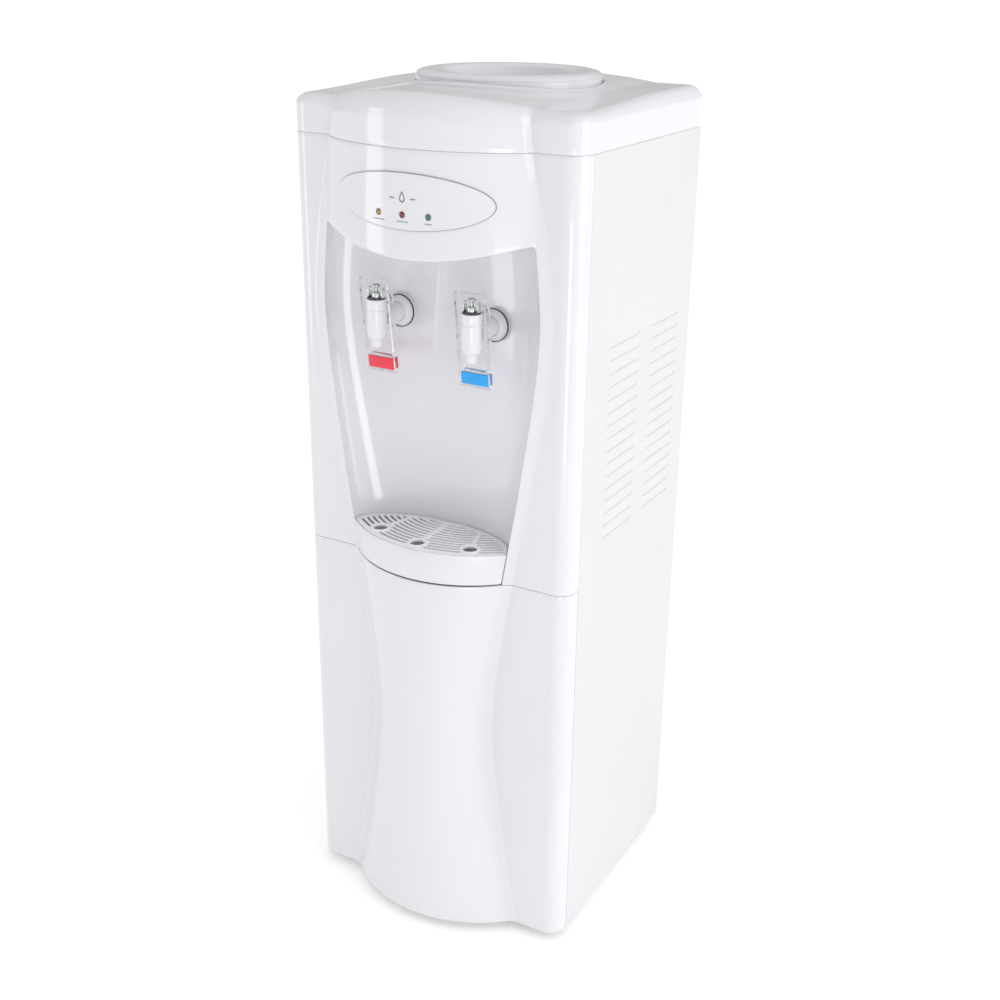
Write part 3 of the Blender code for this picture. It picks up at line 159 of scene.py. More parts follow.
def node_material(name, colour, roughness, metallic=0.0, spread=0.03, mottle=6.0, grain=900.0,
                  bump=0.02, rough_spread=0.05, coat=0.0, transmission=0.0, ior=1.5, wear=0.0):
    """A surface whose colour and gloss drift a little, with a fine moulded or cast grain."""
    mat = bpy.data.materials.new(name)
    mat.use_nodes = True
    tree = mat.node_tree
    place = tree.nodes.new("ShaderNodeTexCoord").outputs["Object"]

    def noise(scale, detail, rough=0.5):
        node = tree.nodes.new("ShaderNodeTexNoise")
        return feed(tree, node, Scale=scale, Detail=detail, Roughness=rough, Vector=place).outputs["Fac"]

    drift = noise(mottle, 4.0)
    ramp = tree.nodes.new("ShaderNodeValToRGB")
    for end, position, share in zip(ramp.color_ramp.elements, (0.3, 0.7), (1 - spread, 1 + spread)):
        end.position = position
        end.color = (*[min(c * share, 1.0) for c in colour], 1.0)
    base = feed(tree, ramp, Fac=drift).outputs["Color"]
    if wear:
        edges = tree.nodes.new("ShaderNodeNewGeometry").outputs["Pointiness"]
        sharp = feed(tree, tree.nodes.new("ShaderNodeMapRange"), From_Min=0.53, From_Max=0.62, To_Max=wear,
                     Value=edges)
        mixer = tree.nodes.new("ShaderNodeMix")
        mixer.data_type = "RGBA"
        worn = (*[min(c * 1.6 + 0.05, 1.0) for c in colour], 1.0)
        base = feed(tree, mixer, B=worn, Factor=sharp.outputs["Result"], A=base).outputs["Result"]
    gloss = feed(tree, tree.nodes.new("ShaderNodeMapRange"), From_Min=0.3, From_Max=0.7,
                 To_Min=max(roughness - rough_spread, 0.01), To_Max=roughness + rough_spread,
                 Value=noise(mottle * 4, 6.0, 0.6))
    relief = feed(tree, tree.nodes.new("ShaderNodeBump"), Strength=bump, Distance=0.0004,
                  Height=noise(grain, 2.0))
    feed(tree, tree.nodes["Principled BSDF"], Metallic=metallic, Coat_Weight=coat, Coat_Roughness=0.08,
         Transmission_Weight=transmission, IOR=ior, Base_Color=base, Roughness=gloss.outputs["Result"],
         Normal=relief.outputs["Normal"])
    return mat


WHITE_RGB = (0.715, 0.708, 0.741)
LOOKS = {                     # colour, roughness, and what differs from node_material's defaults
    "white_plastic": (WHITE_RGB, 0.10,
                      dict(spread=0.012, bump=0.010, grain=400, rough_spread=0.02, coat=0.3)),
    "tray_plastic": (WHITE_RGB, 0.24, dict(spread=0.02, bump=0.015, grain=250, rough_spread=0.04, mottle=10)),
    # painted light: the grille is coloured lighter than the tray's white plastic to offset the shade it gets
    # down in the bay
    "grille_plastic": ((0.88, 0.875, 0.90), 0.28, dict(spread=0.02, grain=300, mottle=20)),
    "white_steel": ((0.665, 0.663, 0.678), 0.30,
                    dict(spread=0.012, bump=0.008, grain=160, rough_spread=0.03, mottle=3)),
    "galvanised": ((0.55, 0.56, 0.58), 0.42,
                   dict(metallic=0.9, spread=0.18, mottle=60, bump=0.05, grain=300)),
    "stainless": ((0.62, 0.62, 0.64), 0.25, dict(metallic=1.0, bump=0.05)),
    "dark_metal": ((0.075, 0.085, 0.085), 0.22,
                   dict(metallic=0.85, spread=0.15, mottle=200, bump=0.03, wear=0.5)),
    "bright_metal": ((0.62, 0.65, 0.64), 0.18, dict(metallic=0.9, spread=0.08, mottle=200, bump=0.03)),
    "spring_steel": ((0.45, 0.45, 0.46), 0.25, dict(metallic=1.0, bump=0.05)),
    "copper": ((0.72, 0.36, 0.20), 0.30, dict(metallic=1.0, spread=0.15, mottle=40)),
    "black_paint": ((0.020, 0.020, 0.022), 0.38, dict(spread=0.2, bump=0.10, grain=600, wear=0.25)),
    "black_plastic": ((0.028, 0.028, 0.030), 0.42, dict(spread=0.1, bump=0.10)),
    "rubber": ((0.022, 0.022, 0.022), 0.72, dict(spread=0.2, bump=0.2, grain=1400)),
    "silicone": ((0.78, 0.78, 0.76), 0.45, dict(bump=0.05)),
    "foam": ((0.88, 0.88, 0.86), 0.85, dict(spread=0.04, bump=0.5, grain=260)),
    "clear_plastic": ((0.97, 0.98, 0.985), 0.03,
                      dict(spread=0.004, bump=0.01, rough_spread=0.02, transmission=1.0, ior=1.14)),
    "red_plastic": ((0.76, 0.022, 0.055), 0.20, dict(spread=0.06, mottle=80, bump=0.03, coat=0.3)),
    "blue_plastic": ((0.0, 0.33, 0.80), 0.20, dict(spread=0.06, mottle=80, bump=0.03, coat=0.3)),
    "badge": (WHITE_RGB, 0.11, dict(spread=0.01, bump=0.01, rough_spread=0.02, coat=0.3)),
    "print_grey": ((0.20, 0.21, 0.23), 0.35, dict(spread=0.15, mottle=400, bump=0.05)),
    "line_grey": ((0.34, 0.34, 0.36), 0.5, dict(spread=0.1, mottle=200, bump=0.05)),
    "amber_lens": ((0.30, 0.24, 0.06), 0.10, dict(spread=0.1, mottle=300, coat=0.5)),
    "red_lens": ((0.20, 0.012, 0.02), 0.10, dict(spread=0.1, mottle=300, coat=0.5)),
    "green_lens": ((0.008, 0.17, 0.13), 0.10, dict(spread=0.1, mottle=300, coat=0.5)),
    "circuit_board": ((0.05, 0.25, 0.10), 0.45, dict(spread=0.1, mottle=200)),
    "floor": ((0.80, 0.80, 0.80), 0.7, dict(spread=0.004, bump=0.0)),
}
M = {name: node_material(name, colour, rough, **more) for name, (colour, rough, more) in LOOKS.items()}
floor_tree = M["floor"].node_tree
feed(floor_tree, floor_tree.nodes["Principled BSDF"], Emission_Color=(1.0, 1.0, 1.0, 1.0),
     Emission_Strength=0.38)

for row in frame["record"]["subparts"]:
    node = NODES[row["node"]]
    node.data.materials.clear()
    node.data.materials.append(M[row["material_slot"]])


# ---- mesh helpers
SMOOTH = 38                   # degrees between two faces above which their edge is sharp
SHELL_SMOOTH = 60             # the same on the moulded skins
FORWARD = Matrix.Rotation(pi / 2, 4, "X")     # turns a lathe's axis to point out of the front
BACKWARD = Matrix.Rotation(-pi / 2, 4, "X")


def placed(name, data):
    """A new object in the scene."""
    obj = bpy.data.objects.new(name, data)
    bpy.context.scene.collection.objects.link(obj)
    return obj


def piece(name, vertices, faces, mat, body="cabinet", stands_for=(), smooth=SMOOTH):
    mesh = bpy.data.meshes.new(name)
    mesh.from_pydata([tuple(v) for v in vertices], [], faces)
    mesh.validate()
    return adopt(mesh, name, mat, body, stands_for, smooth)


def adopt(mesh, name, mat, body="cabinet", stands_for=(), smooth=SMOOTH):
    """Makes a mesh one piece of the looks: its material, body, slot and the CAD nodes it hides."""
    mesh.name = name
    obj = placed(name, mesh)
    mesh.materials.clear()
    mesh.materials.append(M[mat])
    mesh.shade_smooth()
    mesh.set_sharp_from_angle(angle=radians(smooth))
    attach(obj, body)
    if stands_for:
        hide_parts(*([stands_for] if isinstance(stands_for, str) else stands_for))
    return obj


def skin(rows, around=False):
    """Vertices of rows of points, and the faces between the rows. Around closes each row on itself."""
    columns = len(rows[0])
    faces = []
    for r in range(len(rows) - 1):
        for c in range(columns if around else columns - 1):
            d = (c + 1) % columns
            a, b = r * columns, (r + 1) * columns
            faces.append((a + c, a + d, b + d, b + c))
    return [p for row in rows for p in row], faces


def bezier(start, corner, end, steps):
    return [tuple((1 - t) ** 2 * a + 2 * t * (1 - t) * b + t * t * c for a, b, c in zip(start, corner, end))
            for t in (i / steps for i in range(steps + 1))]


def quarter(steps):
    """Angles over a quarter turn."""
    return [k / steps * pi / 2 for k in range(steps + 1)]


def mix(a, b, t):
    return tuple(p + (q - p) * t for p, q in zip(a, b))


def smooth_step(t):
    t = min(max(t, 0.0), 1.0)
    return t * t * (3 - 2 * t)


def rounded(points, radius, steps=4, closed=False):
    """The same outline with its corners rounded."""
    count = len(points)
    out = []
    for i, p in enumerate(points):
        if not closed and i in (0, count - 1):
            out.append(tuple(p))
            continue
        before, after = Vector(points[i - 1]), Vector(points[(i + 1) % count])
        here = Vector(p)
        back, on = before - here, after - here
        if back.length < 1e-7 or on.length < 1e-7 or back.angle(-on) < radians(12):
            out.append(tuple(p))
            continue
        start = here + back * min(radius / back.length, 0.45)
        end = here + on * min(radius / on.length, 0.45)
        out += bezier(start, here, end, steps)
    return out


def turned(profile, steps=64, place=(0.0, 0.0, 0.0), closed=False, turn=None):
    """Vertices and faces of (radius, height) points turned about the vertical through place."""
    vertices = []
    for i in range(steps):
        angle = 2 * pi * i / steps
        vertices += [Vector((max(r, 1e-6) * cos(angle), max(r, 1e-6) * sin(angle), h)) for r, h in profile]
    count = len(profile)
    faces = []
    for i in range(steps):
        j = (i + 1) % steps
        for k in range(count if closed else count - 1):
            m = (k + 1) % count
            faces.append((i * count + k, i * count + m, j * count + m, j * count + k))
    matrix = Matrix.Translation(place) @ (turn or Matrix.Identity(4))
    return [matrix @ v for v in vertices], faces


def clean(obj, distance, smooth=SMOOTH):
    """Welds points this close, turns all faces outward and marks the sharp edges again."""
    work = bmesh.new()
    work.from_mesh(obj.data)
    bmesh.ops.remove_doubles(work, verts=work.verts, dist=distance)
    bmesh.ops.dissolve_degenerate(work, edges=work.edges, dist=distance)
    bmesh.ops.recalc_face_normals(work, faces=work.faces)
    work.to_mesh(obj.data)
    work.free()
    obj.data.set_sharp_from_angle(angle=radians(smooth))


def lathe(name, profile, mat, place, body="cabinet", stands_for=(), steps=64, closed=False,
          turn=None, radius=0.0, smooth=SMOOTH):
    """One turned piece, with the corners of its profile rounded."""
    if radius:
        profile = rounded(profile, radius, 4, closed)
    vertices, faces = turned(profile, steps, place, closed, turn)
    clean(piece(name, vertices, faces, mat, body, stands_for, smooth), 0.000004, smooth)


def joined(name, parts, mat, body="cabinet", stands_for=(), smooth=SMOOTH):
    """One piece out of several (vertices, faces) lists."""
    vertices, faces = [], []
    for v, f in parts:
        base = len(vertices)
        vertices += list(v)
        faces += [tuple(i + base for i in face) for face in f]
    clean(piece(name, vertices, faces, mat, body, stands_for, smooth), 0.0000005, smooth)


def curve_mesh(outlines, thickness=0.0, bevel=0.0, radius=0.0, steps=2):
    """A flat plate from closed outlines or, with a radius, a round rod along open lines."""
    curve = bpy.data.curves.new("guide", "CURVE")
    curve.dimensions = "3D" if radius else "2D"
    curve.bevel_depth = radius or bevel
    curve.bevel_resolution = steps
    if radius:
        curve.use_fill_caps = True
    else:
        curve.fill_mode = "BOTH"
        curve.extrude = thickness / 2 - bevel
        curve.offset = -bevel
    for outline in outlines:
        spline = curve.splines.new("POLY")
        spline.points.add(len(outline) - 1)
        for point, place in zip(spline.points, outline):
            point.co = (place[0], place[1], place[2] if len(place) > 2 else 0.0, 1.0)
        spline.use_cyclic_u = not radius
    guide = placed("guide", curve)
    bpy.context.view_layer.update()
    mesh = bpy.data.meshes.new_from_object(guide.evaluated_get(bpy.context.evaluated_depsgraph_get()))
    bpy.data.objects.remove(guide, do_unlink=True)
    bpy.data.curves.remove(curve)
    return mesh


def mesh_parts(mesh):
    return [v.co.copy() for v in mesh.vertices], [tuple(p.vertices) for p in mesh.polygons]


def plate(outlines, thickness, bevel, matrix, steps=2):
    """Vertices and faces of a flat plate, moved to its place."""
    mesh = curve_mesh(outlines, thickness, bevel, steps=steps)
    mesh.transform(matrix)
    return mesh_parts(mesh)


def rod(line, radius, steps):
    return mesh_parts(curve_mesh([line], radius=radius, steps=steps))


def ellipse(a, b, z, count=96, x=0.0):
    return [(x + a * cos(2 * pi * i / count), z + b * sin(2 * pi * i / count)) for i in range(count)]


def rectangle(x_low, z_low, x_high, z_high, radius, steps=6):
    return rounded([(x_high, z_high), (x_low, z_high), (x_low, z_low), (x_high, z_low)], radius, steps, True)


def across_at(x):
    """Stands a flat outline of y and z across the width, at x."""
    return Matrix(((0, 0, 1, x), (1, 0, 0, 0), (0, 1, 0, 0), (0, 0, 0, 1)))


# ---- the cabinet's outline
def column_at(z):
    heights = [station[0] for station in COLUMN]
    z = min(max(z, heights[0]), heights[-1])
    k = max(i for i in range(len(COLUMN) - 1) if heights[i] <= z)
    low, high = COLUMN[k], COLUMN[k + 1]
    before = COLUMN[max(k - 1, 0)]
    after = COLUMN[min(k + 2, len(COLUMN) - 1)]
    span = high[0] - low[0]
    t = (z - low[0]) / span
    values = []
    for n in (1, 2, 3):
        slope_low = (high[n] - before[n]) / (high[0] - before[0])
        slope_high = (after[n] - low[n]) / (after[0] - low[0])
        values.append(low[n] * (2 * t ** 3 - 3 * t ** 2 + 1) + high[n] * (3 * t ** 2 - 2 * t ** 3)
                      + span * slope_low * (t ** 3 - 2 * t ** 2 + t)
                      + span * slope_high * (t ** 3 - t ** 2))
    return values


def inner_edge(z):
    half, flank, rise = column_at(z)
    return half - flank, -rise


def arc_depth(x, half, edge_depth):
    sagitta = COLUMN_BULGE + edge_depth
    radius = (half ** 2 + sagitta ** 2) / (2 * sagitta)
    return -COLUMN_BULGE + radius - sqrt(max(radius ** 2 - x ** 2, 0.0))


def surface_depth(x, z):
    half, edge = inner_edge(z)
    return arc_depth(x, half, edge)


ARC = 40                      # points from the middle to the column's edge
ROUND = 5                     # points round each of its edges
EDGE = 0.0016                 # how far each rounding reaches
FOOT_EDGE = 0.0020            # and how far the one at the flank's foot reaches along the fairing


def head_edge_height(share):
    return HEAD_EDGE_Z + HEAD_EDGE_RISE * share ** 2


def column_xy(z, turn):
    """A point of the column's front face. The turn runs from 0 in the middle to pi/2 at its edge."""
    half, edge = inner_edge(z)
    x = half * sin(turn)
    return x, arc_depth(x, half, edge)


def bay_xy(z, turn):
    half, edge = inner_edge(z)
    return half * sin(turn), edge + (BAY_DEPTH - edge) * cos(turn)


def outer_points(z):
    """From the column's edge outward: flank, fairing, corner, lip. Starts past the edge itself."""
    half, flank, rise = column_at(z)
    corner, foot = (half - flank, -rise), (half, 0.0)
    share = min(EDGE / sqrt(flank ** 2 + rise ** 2), 0.4)
    start, end = mix(corner, foot, share), mix(corner, foot, 1 - share)
    points = [start] + [mix(start, end, t) for t in (1 / 3, 2 / 3)]
    start_x, end_x = half + FOOT_EDGE, WIDTH / 2 - CORNER_R
    points += bezier(end, foot, (start_x, 0.0), ROUND)
    points += [(start_x + (end_x - start_x) * t, 0.0) for t in (0.33, 0.67)]
    points += [(end_x + CORNER_R * sin(a), CORNER_R - CORNER_R * cos(a)) for a in quarter(12)]
    points.append((WIDTH / 2, CORNER_R + CORNER_LIP))
    return corner, points


def row_points(z_out, centre):
    """One row of the front, mirrored: centre holds ARC points up to the column's edge."""
    corner, outside = outer_points(z_out)
    x_last, d_last, z_last = centre[-1]
    edge = bezier((x_last, d_last), corner, outside[0], ROUND)[1:-1]
    half = centre + [(x, d, z_last + (z_out - z_last) * k / (ROUND + 1)) for k, (x, d) in enumerate(edge, 1)]
    half += [(x, d, z_out) for x, d in outside]
    right = [(x, at_depth(d), z) for x, d, z in half]
    return [(-x, y, z) for x, y, z in reversed(right[1:])] + right


def bay_turns(z):
    """The turns of a bay row's points, up to the rounding of the column's edge."""
    last = acos(min(EDGE / (BAY_DEPTH - inner_edge(z)[1]), 0.5))
    return [last * i / (ARC - 1) for i in range(ARC)]


def column_turns(z):
    last = asin(1 - EDGE / inner_edge(z)[0])
    return [last * i / (ARC - 1) for i in range(ARC)]


def bay_row(z):
    return row_points(z, [(*bay_xy(z, turn), z) for turn in bay_turns(z)])


def column_row(z):
    return row_points(z, [(*column_xy(z, turn), z) for turn in column_turns(z)])


def heights_between(low, high, count):
    """Heights above low, up to and with high."""
    return [low + (high - low) * k / count for k in range(1, count + 1)]


def steps_between(low, high, size):
    return [low] + heights_between(low, high, max(ceil((high - low) / size), 1))


BAY_ROWS_END = 0.690          # the straight rows of the bay's wall end here
HEAD_ROWS_START = 0.762       # and those of the head's face start here
CEILING_START = 0.0045        # how far below the head's edge the wall turns into the ceiling
CEILING_ROUND = 0.0050        # how far that turn reaches along the ceiling
HEAD_EDGE_R = 0.0022
EDGE_BLEND = 0.07             # the last share of a row, where its height runs out to the column's edge


def ceiling_line(bay_turn, column_turn):
    """From the bay's wall over its ceiling and round the head's lower edge, up to the head's face."""
    z_edge = head_edge_height(sin(bay_turn))
    z_ceiling = z_edge + CEILING_RISE * cos(bay_turn)
    line = [(*bay_xy(z, bay_turn), z) for z in heights_between(BAY_ROWS_END, z_edge - CEILING_START, 8)]
    back = (*bay_xy(z_ceiling, bay_turn), z_ceiling)
    front = (*column_xy(z_edge, column_turn), z_edge)
    reach = max(sqrt((back[0] - front[0]) ** 2 + (back[1] - front[1]) ** 2), 1e-6)
    r_back, r_front = min(CEILING_ROUND / reach, 0.3), min(HEAD_EDGE_R / reach, 0.3)
    line += bezier(line[-1], back, mix(back, front, r_back), 6)[1:]
    line += [mix(back, front, r_back + (1 - r_back - r_front) * k / 4) for k in (1, 2, 3, 4)]
    z_above = z_edge + HEAD_EDGE_R
    line += bezier(line[-1], front, (*column_xy(z_above, column_turn), z_above), 6)[1:]
    return line + [(*column_xy(z, column_turn), z) for z in
                   heights_between(z_above, HEAD_ROWS_START, 8)[:-1]]


def ceiling_rows():
    z_end = head_edge_height(1.0)
    lines = [ceiling_line(*turns) for turns in zip(bay_turns(z_end), column_turns(z_end))]
    outside = heights_between(BAY_ROWS_END, z_end - CEILING_START, 8)
    outside += heights_between(z_end - CEILING_START, z_end + HEAD_EDGE_R, 16)
    outside += heights_between(z_end + HEAD_EDGE_R, HEAD_ROWS_START, 8)[:-1]
    rows = []
    for z_out, points in zip(outside, zip(*lines)):
        centre = []
        for i, (x, d, z) in enumerate(points):
            blend = smooth_step((i / (ARC - 1) - 1 + EDGE_BLEND) / EDGE_BLEND)
            centre.append((x, d, z + (z_out - z) * blend))
        rows.append(row_points(z_out, centre))
    return rows


def shell_piece(name, rows, stands_for, around=False):
    """A moulded skin, given its wall inward, with the wall's edges rounded."""
    obj = piece(name, *skin(rows, around), "white_plastic", stands_for=stands_for, smooth=SHELL_SMOOTH)
    wall = obj.modifiers.new("wall", "SOLIDIFY")
    wall.thickness = SHELL
    wall.offset = -1.0
    bevel = obj.modifiers.new("round", "BEVEL")
    bevel.width = 0.0004
    bevel.segments = 2
    bevel.limit_method = "ANGLE"
    bevel.angle_limit = radians(SHELL_SMOOTH)


# ---- front, cover
def front_panels():
    rows = [bay_row(z) for z in steps_between(MID_SEAM_Z + SEAM / 2, BAY_ROWS_END, 0.007)]
    rows += ceiling_rows()
    rows += [column_row(z) for z in steps_between(HEAD_ROWS_START, TOP_SEAM_Z - SEAM / 2, 0.005)]
    shell_piece("visual_front_upper", rows, "front_panel_upper")
    rows = [column_row(z) for z in steps_between(SHELL_BOTTOM, MID_SEAM_Z - SEAM / 2, 0.007)]
    shell_piece("visual_front_lower", rows, "front_panel_lower")


def outline_half(z):
    """The cabinet's section at a height, from the middle of the front round to the middle of the back."""
    points = [column_xy(z, turn) for turn in column_turns(z)]
    corner, outside = outer_points(z)
    points += bezier(points[-1], corner, outside[0], ROUND)[1:-1]
    points += outside
    start = CORNER_R + CORNER_LIP
    end = BODY_DEPTH - BACK_CORNER_R
    points += [(WIDTH / 2, start + (end - start) * k / 30) for k in range(1, 30)]
    x = WIDTH / 2 - BACK_CORNER_R
    points += [(x + BACK_CORNER_R * cos(a), end + BACK_CORNER_R * sin(a)) for a in quarter(6)]
    points += [(x * (1 - k / 16), BODY_DEPTH) for k in range(1, 17)]
    return points


def shoulder_height(y):
    share = (y - SHOULDER_START) / (SHOULDER_END - SHOULDER_START)
    return COVER_EDGE_Z + SHOULDER_RISE * smooth_step(share)


def cover_height(x, y):
    """The cover's top, an arch across the middle that runs out into the shoulders."""
    arch = max(1 - (x / CROWN_HALF) ** 2, 0.0) ** 0.75
    shoulder = shoulder_height(y)
    return shoulder + (COVER_EDGE_Z + CROWN_HEIGHT - shoulder) * arch


def on_cover(points, rise=0.0):
    return [(x, y, cover_height(x, y) + rise) for x, y in points]


def seat_ring(edge, radius):
    """A circle about the bottle seat's axis. Its points face those of the cover's edge."""
    turns = [atan2(y - AXIS_Y, x) for x, y, _ in edge]
    return [(radius * cos(a), AXIS_Y + radius * sin(a)) for a in turns]


def outline_ring(z_section, inset=0.0):
    """The cabinet's outline at a height, right round, with its points shifted inward."""
    middle = BODY_DEPTH / 2
    half = [(x * (1 - inset / (WIDTH / 2)), middle + (d - middle) * (1 - inset / middle))
            for x, d in outline_half(z_section)]
    full = half + [(-x, d) for x, d in reversed(half[1:-1])]
    return [(x, at_depth(d)) for x, d in full]


def top_cover():
    low, shoulder = TOP_SEAM_Z + SEAM / 2, COVER_EDGE_Z - COVER_EDGE_R
    rings = [[(x, y, z) for x, y in outline_ring(z)] for z in steps_between(low, shoulder, 0.005)]
    for angle in quarter(10)[1:]:
        rings.append([(x, y, shoulder + (cover_height(x, y) - shoulder) * sin(angle)) for x, y in
                      outline_ring(COVER_EDGE_Z, COVER_EDGE_R * (1 - cos(angle)))])
    edge = rings[-1]
    seat_r = COLLAR_BASE_R + SEAT_CLEARANCE
    foot_r = SEAT_LIP_R + 0.0012
    foot = seat_ring(edge, foot_r)
    for k in range(1, 15):
        rings.append(on_cover([mix(a[:2], b, k / 14) for a, b in zip(edge, foot)]))
    for share, rise in ((0.20, 0.06), (0.40, 0.30), (0.60, 0.66), (0.80, 0.92), (1.0, 1.0)):
        rings.append(on_cover(seat_ring(edge, foot_r + (seat_r - foot_r) * share), SEAT_LIP_HEIGHT * rise))
    for radius in (seat_r, COVER_HOLE_R):
        rings.append([(x, y, SEAT_FLOOR_Z - 0.0003) for x, y in seat_ring(edge, radius)])
    shell_piece("visual_top_cover", rings, "top_cover", True)


def cover_gasket():
    """A thin strip that closes the joint between the cover and the cabinet."""
    outer, inner = 0.0006, 0.0022
    half = SEAM / 2 - 0.00008
    rings = [[(x, y, TOP_SEAM_Z + rise) for x, y in outline_ring(TOP_SEAM_Z, inset)]
             for inset, rise in ((outer, -half), (outer, half), (inner, half), (inner, -half))]
    vertices, faces = skin(rings, True)
    count = len(rings[0])
    last = (len(rings) - 1) * count
    faces += [(last + i, last + (i + 1) % count, (i + 1) % count, i) for i in range(count)]
    piece("cover_gasket", vertices, faces, "silicone", smooth=30)


def side_panels():
    front, back = at_depth(CORNER_R + CORNER_LIP + SEAM), at_depth(BODY_DEPTH)
    top = TOP_SEAM_Z - SEAM / 2
    slots = [(at_depth(start), at_depth(end), LOUVRE_Z + row * LOUVRE_PITCH)
             for row in range(LOUVRE_ROWS) for start, end in LOUVRE_COLUMNS]
    h = LOUVRE_HEIGHT / 2
    outlines = [rectangle(front, SHELL_BOTTOM, back, top, 0.002, 4)]
    outlines += [rectangle(y0, z - h, y1, z + h, 0.0018, 4) for y0, y1, z in slots]
    for name, side in (("left", -1), ("right", 1)):
        parts = [plate(outlines, SHEET, 0.0003, across_at(side * (WIDTH / 2 - SHEET / 2)))]
        parts += [louvre_blade(side, *slot) for slot in slots]
        joined("visual_side_" + name, parts, "white_steel", stands_for="side_panel_" + name)


def louvre_blade(side, y0, y1, z):
    """The tongue behind each slot, which leans inward towards its lower edge."""
    h = LOUVRE_HEIGHT / 2
    sink, thick, overlap = 0.0002, 0.0006, 0.0005
    outer, inner = [], []
    for inward, up in ((0.0, h + 0.0004), (0.0, h - 0.0008), (0.0003, -h + 0.0014), (0.0004, -h - 0.0006)):
        reach = WIDTH / 2 - sink - inward
        outer.append((side * reach, z + up))
        inner.append((side * (reach - thick), z + up + thick / 2))
    loop = outer + inner[::-1]
    vertices = [(x, y, height) for y in (y0 - overlap, y1 + overlap) for x, height in loop]
    n = len(loop)
    faces = [(i, (i + 1) % n, n + (i + 1) % n, n + i) for i in range(n)]
    faces += [tuple(range(n)), tuple(range(n, 2 * n))]
    return vertices, faces


# ---- bottle seat
def bottle_seat():
    """The collar: straight wall, rounded rim, steep funnel, and the well that the guard sits in."""
    low, well, top = SEAT_FLOOR_Z, WELL_BOTTOM_Z, COLLAR_TOP_Z
    profile = [(0.0760, top), (0.0820, top - 0.0003), (0.0870, top - 0.0014), (0.0897, top - 0.0033),
               (COLLAR_NECK_R - 0.0001, COLLAR_NECK_Z + 0.0006), (COLLAR_NECK_R - 0.0006, COLLAR_NECK_Z),
               (COLLAR_NECK_R, COLLAR_NECK_Z - 0.0007), (COLLAR_BASE_R, low), (COLLAR_BASE_R - 0.0030, low),
               (0.0873, 0.8757), (0.0835, 0.8785), (0.0700, 0.8784), (0.0668, 0.8770), (0.0630, 0.8680),
               (0.0385, 0.8588), (WELL_R + SHELL, 0.8530), (WELL_R + SHELL, well), (0.0240, well),
               (0.0240, well + SHELL), (WELL_R, well + SHELL), (WELL_R, 0.8545), (0.0370, 0.8612),
               (0.0605, 0.8698), (0.0636, 0.8782), (0.0652, 0.8804), (0.0690, top - 0.0005)]
    lathe("visual_bottle_seat", profile, "white_plastic", (0.0, AXIS_Y, 0.0), "bottle_seat",
          "bottle_seat_collar", 128, True, radius=0.0010, smooth=50)


def water_guard():
    low = WELL_BOTTOM_Z + SHELL + 0.0003
    outer = WELL_R - 0.0003
    profile = [(0.0, 0.8740), (0.0060, 0.8715), (0.0090, 0.8640), (0.0100, low + SHELL),
               (outer - SHELL, low + SHELL), (outer - SHELL, 0.8555), (outer, 0.8535),
               (outer, low), (0.0, low)]
    lathe("visual_water_guard", profile, "tray_plastic", (0.0, AXIS_Y, 0.0), "water_guard",
          "water_guard", 64, radius=0.0010)
    # painted shade: black plates on the spike stand in for the dark insides of its ports, which are not cut
    parts = []
    for n in range(4):
        angle = n * pi / 2 + pi / 4
        matrix = (Matrix.Translation((0.0, AXIS_Y, 0.845)) @ Matrix.Rotation(angle, 4, "Z")
                  @ Matrix.Translation((0.0091, 0.0, 0.0)) @ Matrix.Rotation(pi / 2, 4, "Y"))
        parts.append(plate([rectangle(-0.008, -0.0016, 0.008, 0.0016, 0.0015, 3)], 0.0014, 0.0001, matrix))
    joined("visual_guard_port_shade", parts, "black_plastic", "water_guard")


# ---- indicator panel
def on_head(name, loops, lift, thickness, mat, stands_for=(), rows=10):
    """A thin shape drawn in x and z, laid on the head's curve, standing proud of it."""
    mesh = curve_mesh(loops, 0.0002)
    work = bmesh.new()
    work.from_mesh(mesh)

    def cut(place, across):
        bmesh.ops.bisect_plane(work, geom=[*work.verts, *work.edges, *work.faces], plane_co=place,
                               plane_no=across)

    for face in [f for f in work.faces if f.calc_center_median().z < 0.00005]:
        work.faces.remove(face)
    for vert in [v for v in work.verts if not v.link_faces]:
        work.verts.remove(vert)
    reach = max(abs(v.co.x) for v in work.verts)
    for k in range(-23, 24):
        cut((reach * k / 24, 0, 0), (1, 0, 0))
    low, high = min(v.co.y for v in work.verts), max(v.co.y for v in work.verts)
    for k in range(1, rows):
        cut((0, low + (high - low) * k / rows, 0), (0, 1, 0))
    bmesh.ops.remove_doubles(work, verts=work.verts, dist=0.00002)
    for v in work.verts:
        x, z = v.co.x, v.co.y
        v.co = Vector((x, at_depth(surface_depth(x, z)) - lift, z))
    front = list(work.faces)
    moved = bmesh.ops.extrude_face_region(work, geom=front)
    for v in [g for g in moved["geom"] if isinstance(g, bmesh.types.BMVert)]:
        v.co.y += thickness
    bmesh.ops.recalc_face_normals(work, faces=work.faces)
    work.to_mesh(mesh)
    work.free()
    adopt(mesh, name, mat, "cabinet", stands_for, 40)


PRINT = 0.0001                # thickness of the printed marks


